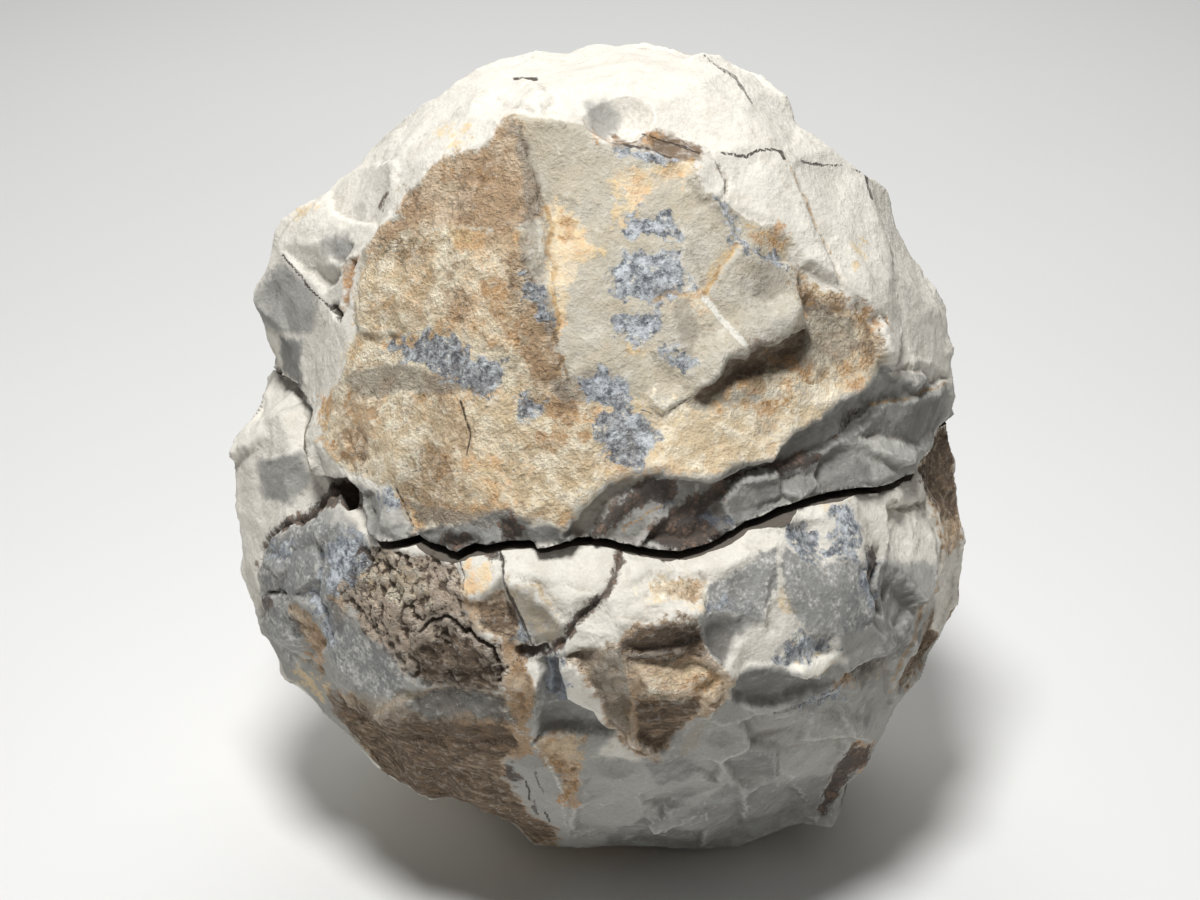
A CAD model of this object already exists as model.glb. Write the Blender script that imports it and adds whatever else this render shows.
"""The looks of a broken geode: two chalky halves, set together along the crack between them.

Each half starts from its CAD solid, is divided finely, and is then worked by hand-drawn relief on
the side that faces the eye and by scattered flake scars and grain everywhere. The drawings are
made on a sheet that stands in front of the stone: 1200 units wide and 900 high, four units to a
millimetre, x to the right and y down.
"""

from itertools import product
from math import cos, radians, sin

import bmesh
import bpy
import numpy as np
from mathutils import Matrix, Vector
from mathutils.kdtree import KDTree


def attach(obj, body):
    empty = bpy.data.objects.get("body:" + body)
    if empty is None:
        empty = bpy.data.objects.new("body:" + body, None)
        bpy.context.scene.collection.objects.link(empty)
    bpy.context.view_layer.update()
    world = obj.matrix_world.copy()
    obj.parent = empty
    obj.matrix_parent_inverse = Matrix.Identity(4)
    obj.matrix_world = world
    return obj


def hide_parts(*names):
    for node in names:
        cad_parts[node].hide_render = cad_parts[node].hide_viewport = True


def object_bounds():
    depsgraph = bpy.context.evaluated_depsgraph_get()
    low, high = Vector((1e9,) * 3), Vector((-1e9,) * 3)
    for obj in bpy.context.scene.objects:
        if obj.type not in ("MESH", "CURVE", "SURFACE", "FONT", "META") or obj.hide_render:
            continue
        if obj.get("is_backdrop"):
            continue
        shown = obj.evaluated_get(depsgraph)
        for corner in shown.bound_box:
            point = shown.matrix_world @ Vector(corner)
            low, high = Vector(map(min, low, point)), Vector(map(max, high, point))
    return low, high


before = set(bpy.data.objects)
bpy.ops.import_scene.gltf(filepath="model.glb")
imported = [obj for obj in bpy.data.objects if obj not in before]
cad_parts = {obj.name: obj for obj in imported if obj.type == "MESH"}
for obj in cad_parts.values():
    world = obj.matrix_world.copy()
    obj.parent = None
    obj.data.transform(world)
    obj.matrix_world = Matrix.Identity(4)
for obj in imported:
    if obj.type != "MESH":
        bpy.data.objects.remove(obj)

CAD_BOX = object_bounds()

bl_info = {
    "name": "Broken Geode",
    "version": (1, 0, 0),
    "blender": (4, 5, 0),
    "location": "View3D > Sidebar > Geode",
    "description": "Builds the finish of a broken geode on its solid halves",
    "category": "Object",
}

MM = 0.001

# The sheet that the drawings are made on, and the eye that looks through it
SHEET_CENTRE = np.array((600.0, 450.0))
SHEET_SCALE = 4.0
SIGHT_TILT = radians(24)
EYE_DISTANCE = 0.7
MIDDLE = Vector((0.0004, 0.003, 0.0955))
RIGHT = Vector((1, 0, 0))
UP = Vector((0, sin(SIGHT_TILT), cos(SIGHT_TILT)))
TOWARDS = Vector((0, -cos(SIGHT_TILT), sin(SIGHT_TILT)))
EYE = MIDDLE + TOWARDS * EYE_DISTANCE

# How far outside an outline its depth is measured, and how far a line fades, in sheet units
OUTLINE_REACH = 26.0
LINE_FADE = 3.4

# Kinds of face. The crack's faces lie in planes that pass close to the middle of the stone.
FRONT, BACK, CRACK, FOOT = range(4)
CRACK_OFFSET = 8 * MM
FOOT_HEIGHT = 0.3 * MM
TURNED_AWAY = -0.12

# Within this many mm of the crack's edge, relief is pushed away from the middle of the stone.
# The edges of both halves wander by one seed.
RIM_REACH = 5.0
RIM_SEED = 5

# The most that a mark kept on the mesh can be, above or below 0
MARK_LIMIT = 6.0


# --------------------------------------------------------------------------------------------
# Drawings, in sheet units. An outline or a line is x, y, x, y and so on.
#
# A facet is an outline, its lift in mm and its slope to the right and downwards.
# A step is a line, how many mm its left-hand side stands proud and over how many mm that fades.
# A scoop is x, y and how wide and how deep it is in mm.
# A groove is a line, its width in mm and its depth in mm.
# A zone is a list of outlines. Any other line has its width in mm and how strongly it shows.

# Outlines and lines that more than one drawing has
SIDE_SLIT = [333, 307, 337, 314, 341, 319]
TOP_CRACK = [711, 152, 718, 166, 724, 180, 727, 195]
LEFT_NOTCH = [280, 335, 304, 340, 305, 388, 284, 372]
NARROW_FACET = [505, 575, 530, 585, 545, 600, 570, 625, 560, 642, 545, 646, 530, 637, 520, 612, 507, 590]
LOW_RIGHT_FACET = [926, 612, 938, 640, 905, 690, 896, 690, 908, 650]
LOBE_SLIT = [268, 595, 276, 593, 284, 594]
MASS_CREVICE = [420, 632, 428, 622, 440, 618, 452, 616, 466, 632]
PITTED_MASS = [
    352, 548, 376, 546, 400, 551, 430, 557, 456, 567, 463, 592, 466, 612, 480, 632, 500, 645, 507, 665,
    504, 690, 480, 692, 440, 689, 410, 682, 392, 655, 365, 632, 347, 600, 345, 575,
]

UPPER_FACETS = [
    ([685, 230, 700, 208, 720, 205, 738, 240, 706, 295, 690, 255], 0.4, 0.1, -0.12),
    ([738, 243, 760, 262, 795, 270, 800, 300, 780, 318, 742, 343, 722, 310, 708, 290], 1.2, 0.05, -0.18),
    ([655, 380, 690, 378, 700, 390, 680, 400, 660, 412, 645, 395], 0.5, 0.0, 0.3),
    ([650, 350, 690, 345, 705, 380, 690, 382, 665, 370], 0.4, -0.1, -0.2),
    ([345, 370, 400, 364, 440, 374, 480, 368, 500, 376, 480, 392, 440, 394, 400, 390, 365, 398,
      348, 388], -0.2, 0.0, -0.14),
    ([360, 258, 420, 235, 450, 240, 440, 300, 400, 335, 362, 335, 368, 300], 0.5, -0.05, 0.05),
    ([285, 250, 310, 245, 330, 240, 327, 262, 340, 275, 325, 290, 305, 275], -1.0, 0.15, -0.4),
    ([327, 238, 345, 233, 352, 245, 340, 262, 328, 252], -1.0, -0.3, -0.4),
    ([856, 440, 868, 434, 890, 438, 915, 452, 906, 464, 880, 460], 0.9, 0.0, 0.6),
    ([880, 460, 906, 464, 914, 466, 900, 476, 872, 482, 864, 458], 0.3, -0.1, 0.2),
    ([820, 460, 845, 444, 862, 448, 872, 480, 830, 492, 815, 480], -0.9, 0.2, 0.1),
    ([722, 484, 775, 468, 782, 498, 740, 513, 705, 512], 0.5, 0.1, -0.15),
    ([784, 497, 780, 480, 812, 472, 818, 480, 800, 500], 0.5, 0.1, 0.5),
    ([890, 372, 905, 366, 925, 375, 935, 382, 915, 388, 895, 380], 0.5, 0.0, 0.8),
    ([900, 362, 930, 360, 950, 380, 935, 384, 922, 372], -0.4, 0.0, -0.4),
    ([845, 425, 870, 402, 950, 392, 945, 420, 925, 448, 880, 437, 850, 440], -0.5, -0.05, -0.15),
    ([530, 525, 570, 520, 575, 540, 540, 550, 530, 540], 0.8, 0.1, -0.1),
    ([498, 518, 525, 522, 532, 545, 505, 546], -0.6, 0.1, -0.3),
    ([440, 530, 475, 525, 480, 545, 455, 556, 430, 548], -0.5, -0.1, -0.3),
    ([360, 492, 385, 488, 398, 510, 400, 535, 375, 535, 364, 515], 0.0, 0.4, -0.1),
    ([384, 505, 398, 505, 400, 525, 386, 528], 0.4, -0.3, 0.3),
    ([310, 440, 325, 445, 345, 472, 330, 482, 318, 478], -0.8, 0.3, -0.3),
    ([752, 160, 790, 165, 812, 235, 830, 285, 800, 265, 770, 222, 735, 205, 728, 180], 1.3, 0.05, 0.09),
    ([792, 166, 866, 176, 884, 240, 892, 330, 886, 372, 868, 318, 834, 288, 814, 240], 1.9, 0.02, 0.08),
    ([724, 478, 770, 462, 775, 452, 800, 432, 835, 412, 866, 392, 886, 372, 890, 398, 868, 418, 845, 440,
      822, 452, 772, 468, 740, 478], -1.6, 0.0, -0.12),
    ([584, 508, 604, 488, 630, 472, 662, 470, 640, 486, 612, 506, 590, 540, 566, 530], -1.5, 0.0, -0.15),
    ([662, 470, 680, 482, 702, 483, 690, 502, 655, 524, 634, 546, 600, 543, 625, 510,
      648, 488], -1.0, -0.1, -0.15),
    ([704, 484, 745, 474, 722, 500, 732, 528, 690, 546, 640, 548, 655, 528, 690, 502], -2.6, 0.0, -0.1),
    ([405, 535, 450, 528, 495, 516, 560, 526, 570, 540, 500, 550, 430, 552], -1.2, 0.0, -0.15),
    ([440, 85, 470, 78, 520, 82, 550, 100, 540, 115, 500, 100, 450, 120, 400, 155,
      420, 120], 0.5, 0.05, 0.1),
    ([350, 170, 400, 165, 395, 205, 375, 225, 335, 215, 330, 195], -0.4, 0.1, -0.15),
]

UPPER_STEPS = [
    ([512, 116, 527, 150, 537, 180, 541, 205, 546, 262, 536, 282, 550, 320, 556, 345, 566, 370,
      578, 402], -1.5, 9),
    ([402, 195, 398, 214, 385, 226, 374, 243, 361, 257], 1.0, 5),
    ([686, 396, 706, 379, 723, 360, 741, 345, 773, 331, 795, 318, 804, 296], 3.8, 9),
    ([545, 100, 530, 85, 520, 78], 0.8, 6),
    ([562, 526, 582, 506, 602, 486, 627, 470, 660, 468, 676, 479, 700, 480, 716, 475, 726, 462, 770, 460,
      776, 445, 792, 432, 816, 420, 832, 405, 846, 395, 864, 385, 883, 362], 1.2, 5),
    ([686, 172, 702, 196, 722, 202], 1.0, 6),
    ([676, 215, 682, 240, 683, 275], 0.6, 4),
    ([845, 428, 866, 405, 900, 399, 948, 386], -1.0, 5),
]

UPPER_SCOOPS = [
    (601, 119, 9.0, 1.1), (632, 112, 7.5, 0.9), (491, 486, 8.0, 0.9), (488, 440, 6.0, 0.6),
    (665, 145, 9.0, 1.5), (610, 140, 5.0, 1.2), (760, 290, 12.0, 1.0), (640, 335, 10.0, 0.6),
    (500, 375, 11.0, 0.7), (420, 440, 14.0, 0.8), (580, 320, 12.0, 0.5), (680, 500, 8.0, 1.2),
    (575, 225, 9.0, 0.5), (890, 410, 10.0, 1.0), (840, 455, 8.0, 1.0), (365, 515, 4.0, 0.9),
    (750, 430, 14.0, 0.7), (830, 345, 11.0, 0.8), (352, 215, 9.0, 0.8), (270, 300, 8.0, 0.9),
]

UPPER_GROOVES = [
    ([355, 262, 349, 285, 347, 303, 343, 316], 2.2, 2.4),
    (SIDE_SLIT, 2.0, 4.0),
    (TOP_CRACK, 1.3, 1.3),
    ([395, 488, 402, 510, 410, 532], 1.2, 1.2),
]

UPPER_ZONES = {
    "pale": [
        [364, 310, 370, 264, 396, 236, 440, 226, 456, 240, 440, 262, 446, 300, 430, 330, 400, 335,
         380, 348, 360, 335],
        [350, 345, 405, 350, 392, 364, 360, 370, 344, 376],
        [372, 400, 440, 396, 458, 420, 464, 440, 450, 470, 472, 500, 455, 522, 420, 520, 396, 490,
         376, 470, 368, 430],
        [470, 395, 530, 383, 552, 400, 540, 430, 500, 442, 466, 430],
        [600, 398, 640, 393, 720, 418, 800, 393, 864, 368, 800, 427, 770, 457, 700, 472, 650, 464,
         636, 430],
        [510, 430, 560, 420, 600, 436, 618, 462, 600, 486, 560, 522, 520, 510, 505, 470],
    ],
    "peach": [
        [600, 405, 650, 418, 700, 408, 780, 392, 872, 358, 864, 384, 820, 415, 770, 458, 716, 476,
         660, 468, 600, 486, 570, 470, 590, 440],
        [440, 300, 470, 250, 500, 238, 528, 262, 540, 320, 552, 345, 520, 350, 470, 340],
        [440, 395, 520, 385, 560, 420, 600, 470, 560, 510, 480, 505, 440, 470, 470, 440],
        [330, 395, 372, 392, 400, 440, 392, 480, 350, 470, 325, 440],
        [548, 200, 575, 205, 590, 250, 570, 300, 556, 340, 546, 290],
        [620, 170, 690, 160, 690, 175, 640, 200, 620, 235],
        [655, 285, 712, 285, 705, 310, 660, 310],
        [800, 340, 845, 320, 868, 345, 840, 372, 780, 380],
    ],
    "smoke": [
        [408, 533, 450, 525, 490, 513, 512, 512, 535, 523, 560, 523, 574, 514, 574, 540, 500, 552,
         450, 556],
        [664, 466, 678, 477, 702, 478, 716, 473, 726, 459, 770, 457, 776, 442, 792, 429, 816, 417,
         832, 402, 848, 394, 880, 400, 900, 402, 948, 392, 935, 440, 918, 450, 890, 436, 860, 438,
         845, 446, 868, 462, 868, 484, 820, 500, 784, 500, 760, 512, 730, 530, 690, 550, 640, 552,
         660, 526, 692, 500, 680, 488],
        LEFT_NOTCH,
        [345, 480, 372, 490, 380, 540, 350, 530],
        [846, 396, 864, 384, 884, 364, 892, 378, 905, 370, 950, 386, 925, 392, 870, 404],
    ],
    "cream": [
        [508, 116, 488, 140, 480, 153, 460, 151, 440, 161, 420, 180, 403, 192, 400, 215, 385, 225,
         375, 242, 362, 256, 363, 275, 366, 295, 360, 320, 352, 345, 342, 370, 332, 392, 320, 412,
         318, 435, 332, 458, 350, 475, 392, 488, 404, 520, 415, 534, 450, 528, 490, 516, 512, 515,
         535, 526, 562, 526, 582, 506, 602, 486, 627, 470, 660, 468, 676, 479, 700, 480, 716, 475,
         726, 462, 770, 460, 776, 445, 792, 432, 816, 420, 832, 405, 846, 395, 864, 385, 883, 362,
         880, 348, 874, 333, 866, 320, 852, 312, 834, 297, 812, 290, 803, 270, 790, 262, 786, 240,
         770, 225, 745, 218, 725, 203, 705, 195, 690, 170, 680, 160, 640, 150, 602, 143, 585, 126,
         560, 120, 520, 118],
    ],
    "sand": [
        [375, 242, 440, 226, 530, 230, 540, 262, 550, 320, 566, 370, 600, 400, 640, 430, 640, 462,
         600, 486, 562, 526, 520, 520, 440, 528, 412, 532, 392, 488, 350, 475, 320, 435, 320, 412,
         340, 375, 358, 330, 362, 290],
        [790, 275, 835, 297, 866, 320, 878, 345, 870, 365, 800, 392, 720, 400, 740, 370, 795, 345],
    ],
    "taupe": [
        [512, 122, 530, 140, 540, 175, 545, 205, 535, 215, 540, 262, 555, 300, 556, 340, 545, 335,
         532, 300, 522, 270, 520, 240, 524, 210, 518, 170],
        [344, 378, 372, 368, 400, 364, 440, 374, 470, 388, 430, 396, 400, 392, 360, 402],
        [566, 532, 584, 506, 604, 488, 630, 474, 644, 478, 630, 494, 608, 508, 592, 530, 582, 544],
        [724, 486, 774, 470, 780, 496, 744, 512, 710, 514],
        [752, 268, 775, 266, 786, 290, 770, 306, 752, 300],
        [545, 380, 600, 365, 600, 400, 560, 408],
        [668, 300, 690, 300, 700, 340, 690, 362, 678, 340],
        [450, 512, 500, 512, 560, 520, 500, 522, 450, 528, 420, 528, 402, 500],
        [790, 282, 815, 300, 850, 318, 862, 345, 840, 365, 800, 372, 775, 372, 790, 345, 800, 310],
        [690, 165, 704, 196, 725, 203, 740, 218, 735, 240, 708, 210, 690, 185],
    ],
    "crust": [
        [508, 116, 488, 140, 480, 153, 460, 151, 440, 161, 420, 180, 403, 192, 400, 215, 385, 225,
         375, 242, 400, 240, 440, 226, 470, 225, 500, 232, 520, 228, 545, 215, 540, 190, 530, 158,
         520, 125],
        [372, 244, 420, 236, 440, 240, 425, 262, 395, 262, 372, 262],
        [446, 290, 462, 284, 472, 300, 470, 330, 452, 322],
        [505, 262, 524, 250, 540, 282, 552, 322, 558, 346, 578, 400, 560, 418, 532, 402, 520, 345,
         510, 300],
        [340, 430, 360, 424, 372, 450, 360, 470],
        [405, 450, 440, 440, 455, 470, 445, 500, 470, 515, 440, 530, 412, 520, 400, 490],
        [780, 272, 812, 290, 840, 300, 868, 320, 880, 350, 872, 362, 858, 350, 862, 335, 842, 318,
         815, 312, 800, 330, 792, 312, 800, 290],
    ],
    "rust": [
        [450, 298, 462, 304, 465, 322, 454, 318],
        [488, 250, 504, 254, 500, 266, 486, 264],
        [480, 285, 500, 280, 516, 306, 524, 335, 510, 340, 496, 320],
        [540, 398, 575, 405, 570, 425, 548, 415],
        [535, 430, 565, 432, 572, 452, 545, 460, 532, 445],
        [575, 430, 592, 436, 590, 448, 576, 446],
        [425, 440, 448, 450, 452, 475, 432, 480, 422, 460],
        [325, 398, 360, 395, 376, 412, 370, 430, 345, 424, 328, 416],
        [335, 440, 352, 436, 356, 456, 342, 460],
        [745, 224, 775, 230, 786, 248, 775, 258, 760, 240, 748, 240],
        [790, 272, 812, 290, 822, 300, 800, 300, 785, 285],
        [858, 314, 872, 322, 878, 338, 864, 330],
        [735, 398, 790, 398, 800, 408, 770, 416, 740, 412],
        [765, 355, 800, 360, 812, 388, 800, 385, 785, 368],
        [660, 290, 700, 288, 712, 296, 690, 304, 662, 302],
        [605, 134, 622, 132, 620, 146, 606, 146],
        [642, 128, 660, 134, 658, 150, 640, 147],
        [560, 205, 575, 215, 576, 238, 562, 240, 556, 222],
        [845, 380, 858, 378, 862, 388, 848, 392],
        [345, 262, 360, 256, 352, 285, 350, 308, 344, 312, 343, 285],
        [465, 172, 478, 165, 488, 178, 474, 184],
        [440, 170, 455, 172, 450, 185],
        [585, 118, 597, 124, 597, 138, 588, 132],
    ],
    "ochre": [
        [540, 208, 560, 200, 578, 212, 582, 240, 600, 252, 580, 262, 545, 264],
        [546, 268, 568, 266, 566, 300, 556, 330, 548, 318, 540, 285],
        [475, 466, 492, 463, 502, 480, 500, 502, 482, 500, 476, 485],
        [520, 478, 560, 470, 615, 462, 600, 488, 575, 508, 545, 522, 525, 500],
        [612, 180, 640, 172, 650, 190, 628, 232, 612, 228],
        [640, 160, 690, 158, 692, 172, 650, 176],
        [470, 400, 520, 385, 535, 410, 500, 430, 475, 425],
        [640, 425, 700, 415, 770, 440, 760, 458, 700, 470, 650, 455],
        [598, 395, 640, 398, 660, 412, 640, 425, 605, 415],
        [740, 242, 728, 262, 716, 284, 704, 298, 698, 290, 712, 268, 730, 244],
        [440, 222, 475, 222, 470, 240, 445, 240],
        [618, 345, 655, 346, 650, 356, 622, 354],
        [440, 134, 470, 126, 474, 140, 452, 148],
        [300, 208, 315, 202, 318, 210, 302, 218],
        [845, 240, 862, 245, 850, 275],
    ],
    "blue": [
        [621, 233, 627, 216, 640, 212, 655, 216, 668, 211, 676, 222, 681, 241, 664, 240, 650, 238,
         634, 243, 624, 241],
        [606, 275, 618, 258, 640, 246, 662, 247, 682, 252, 684, 273, 692, 284, 680, 300, 660, 306,
         640, 301, 625, 304, 612, 290],
        [608, 317, 622, 311, 640, 315, 656, 309, 660, 330, 645, 341, 628, 340, 612, 331],
        [578, 376, 598, 367, 618, 372, 634, 386, 637, 400, 618, 410, 600, 404, 585, 396],
        [596, 418, 620, 404, 645, 414, 657, 440, 648, 462, 625, 467, 603, 452, 592, 432],
        [390, 348, 404, 339, 425, 334, 442, 329, 456, 335, 464, 350, 478, 358, 505, 362, 505, 384,
         482, 397, 465, 388, 445, 377, 430, 366, 402, 360],
        [722, 236, 734, 224, 744, 236, 752, 246, 764, 252, 778, 250, 788, 262, 772, 271, 755, 264,
         738, 250, 727, 244],
        [720, 205, 734, 208, 738, 222, 728, 228, 718, 218],
        [655, 350, 676, 344, 690, 362, 680, 372],
        [615, 148, 650, 152, 684, 156, 682, 162, 645, 160, 618, 156],
        [520, 395, 545, 398, 542, 415, 522, 416],
        [652, 480, 668, 478, 680, 496, 672, 504, 656, 500],
        [696, 512, 718, 510, 732, 520, 722, 533, 704, 528],
        [378, 488, 392, 490, 394, 504, 382, 508],
        [524, 270, 545, 290, 552, 325, 538, 322, 526, 298],
    ],
    "vein": [
        [640, 546, 650, 530, 670, 514, 690, 500, 704, 495, 718, 483, 744, 472, 738, 485, 718, 503,
         706, 515, 722, 533, 702, 548, 672, 553],
        [774, 461, 800, 455, 822, 451, 816, 465, 796, 470, 781, 478, 772, 468],
        [636, 484, 650, 474, 668, 474, 680, 486, 678, 502, 660, 506, 636, 508, 622, 518, 608, 532,
         594, 542, 586, 538, 600, 520, 616, 504],
        [498, 520, 516, 516, 526, 530, 520, 544, 500, 545],
        [440, 534, 462, 530, 470, 545, 452, 554, 436, 546],
        [836, 442, 845, 427, 856, 411, 862, 408, 850, 428, 842, 441],
        [375, 205, 384, 196, 391, 187, 392, 192, 384, 203, 377, 208],
    ],
    "marl": [
        [582, 104, 612, 102, 622, 118, 618, 134, 604, 138, 590, 124],
        [252, 303, 280, 256, 302, 278, 318, 300, 312, 332, 283, 335, 256, 318],
        LEFT_NOTCH,
        [325, 240, 346, 232, 354, 246, 338, 264, 326, 254],
        [880, 396, 955, 385, 950, 425, 930, 452, 916, 476, 860, 492, 820, 498, 780, 512, 740, 530,
         700, 548, 640, 550, 580, 541, 500, 546, 460, 558, 420, 548, 372, 540, 360, 500, 395, 490,
         412, 532, 470, 522, 535, 528, 565, 524, 604, 486, 660, 470, 700, 482, 776, 460, 830, 406,
         866, 386],
    ],
    "umber": [
        [684, 402, 706, 379, 723, 359, 741, 343, 773, 328, 800, 312, 808, 330, 802, 350, 786, 366,
         762, 374, 738, 384, 718, 394, 700, 404],
        [640, 128, 660, 130, 690, 140, 712, 150, 700, 160, 672, 163, 650, 152, 612, 148, 604, 138,
         622, 133, 632, 142],
        [345, 262, 360, 256, 352, 285, 350, 308, 344, 314, 343, 285],
    ],
}

UPPER_THREADS = [
    ([606, 140, 622, 146, 640, 148, 655, 150, 672, 158], 0.5, 0.9),
    ([640, 132, 650, 136, 664, 140, 684, 148, 700, 154], 0.4, 0.9),
    ([463, 402, 466, 420, 470, 437, 466, 458], 0.35, 0.9),
    ([282, 256, 292, 266, 301, 276, 306, 286, 320, 299, 335, 313], 0.5, 0.9),
    (SIDE_SLIT, 1.2, 1.0),
    ([343, 318, 344, 345, 348, 360], 0.3, 0.6),
    ([703, 56, 716, 66, 735, 78, 745, 92, 753, 104], 0.4, 0.8),
    ([705, 106, 720, 124, 732, 138, 745, 153], 0.2, 0.55),
    ([722, 154, 745, 157, 756, 152, 768, 151, 780, 154, 784, 161], 0.5, 0.95),
    (TOP_CRACK, 0.8, 0.75),
    ([802, 163, 812, 164, 822, 165], 0.45, 0.9),
    ([822, 165, 842, 166], 0.35, 0.85),
    ([850, 169, 858, 171, 866, 172], 0.35, 0.8),
    ([866, 174, 868, 184, 872, 198], 0.75, 0.85),
    ([872, 198, 878, 208, 889, 222, 894, 243, 896, 258, 899, 268, 899, 277, 893, 283], 0.35, 0.7),
    ([515, 79, 528, 79, 536, 78], 0.6, 0.95),
    ([642, 411, 658, 414, 672, 409, 690, 396], 0.45, 0.85),
    ([720, 481, 745, 474, 775, 464], 0.5, 0.9),
    ([560, 362, 566, 378, 568, 385], 0.3, 0.7),
    ([872, 494, 880, 478, 872, 470, 866, 462], 0.2, 0.5),
    ([900, 364, 915, 366, 932, 376], 0.4, 0.6),
    ([846, 428, 860, 408], 0.5, 0.8),
    ([460, 72, 480, 70, 500, 76, 518, 79], 0.5, 0.5),
    ([536, 130, 537, 138], 0.4, 0.7),
]

UPPER_GOLD = [
    ([546, 206, 552, 228, 545, 250, 556, 262, 552, 290, 558, 320, 553, 338], 1.1, 0.85),
    ([552, 226, 566, 218, 578, 224], 0.9, 0.8),
    ([655, 300, 668, 292, 690, 296, 704, 304], 1.0, 0.8),
    ([648, 160, 660, 168, 680, 166, 694, 160], 0.7, 0.7),
    ([720, 412, 745, 402, 770, 404, 792, 398], 1.4, 0.75),
    ([800, 380, 812, 384, 826, 378], 1.2, 0.7),
    ([748, 226, 764, 232, 780, 244, 786, 258], 1.5, 0.8),
    ([796, 272, 812, 284, 826, 298], 1.2, 0.75),
    ([848, 300, 860, 318, 872, 336], 1.0, 0.7),
    ([606, 346, 630, 352, 655, 346], 0.6, 0.6),
    ([660, 424, 690, 418, 705, 410], 0.6, 0.6),
    ([444, 236, 452, 252, 446, 268], 0.8, 0.6),
    ([785, 162, 795, 178, 803, 196, 812, 222, 822, 242, 829, 256], 0.35, 0.8),
    ([818, 238, 819, 252, 826, 268, 836, 278], 0.25, 0.6),
    ([870, 405, 885, 402, 905, 399, 925, 391, 946, 384], 0.45, 0.85),
    ([735, 245, 725, 262, 714, 280, 704, 294], 0.9, 0.9),
    ([600, 254, 572, 258, 545, 256], 0.35, 0.6),
    ([700, 154, 712, 163, 716, 173], 0.3, 0.7),
    ([625, 540, 622, 528, 638, 521, 646, 514, 664, 506], 0.45, 0.8),
    ([948, 300, 956, 322, 962, 334], 0.35, 0.6),
    ([680, 322, 692, 318, 702, 312], 0.4, 0.6),
]

UPPER_CREAM_LINES = [
    ([704, 296, 714, 308, 722, 322, 732, 334, 742, 343], 0.9, 1.0),
]

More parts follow.
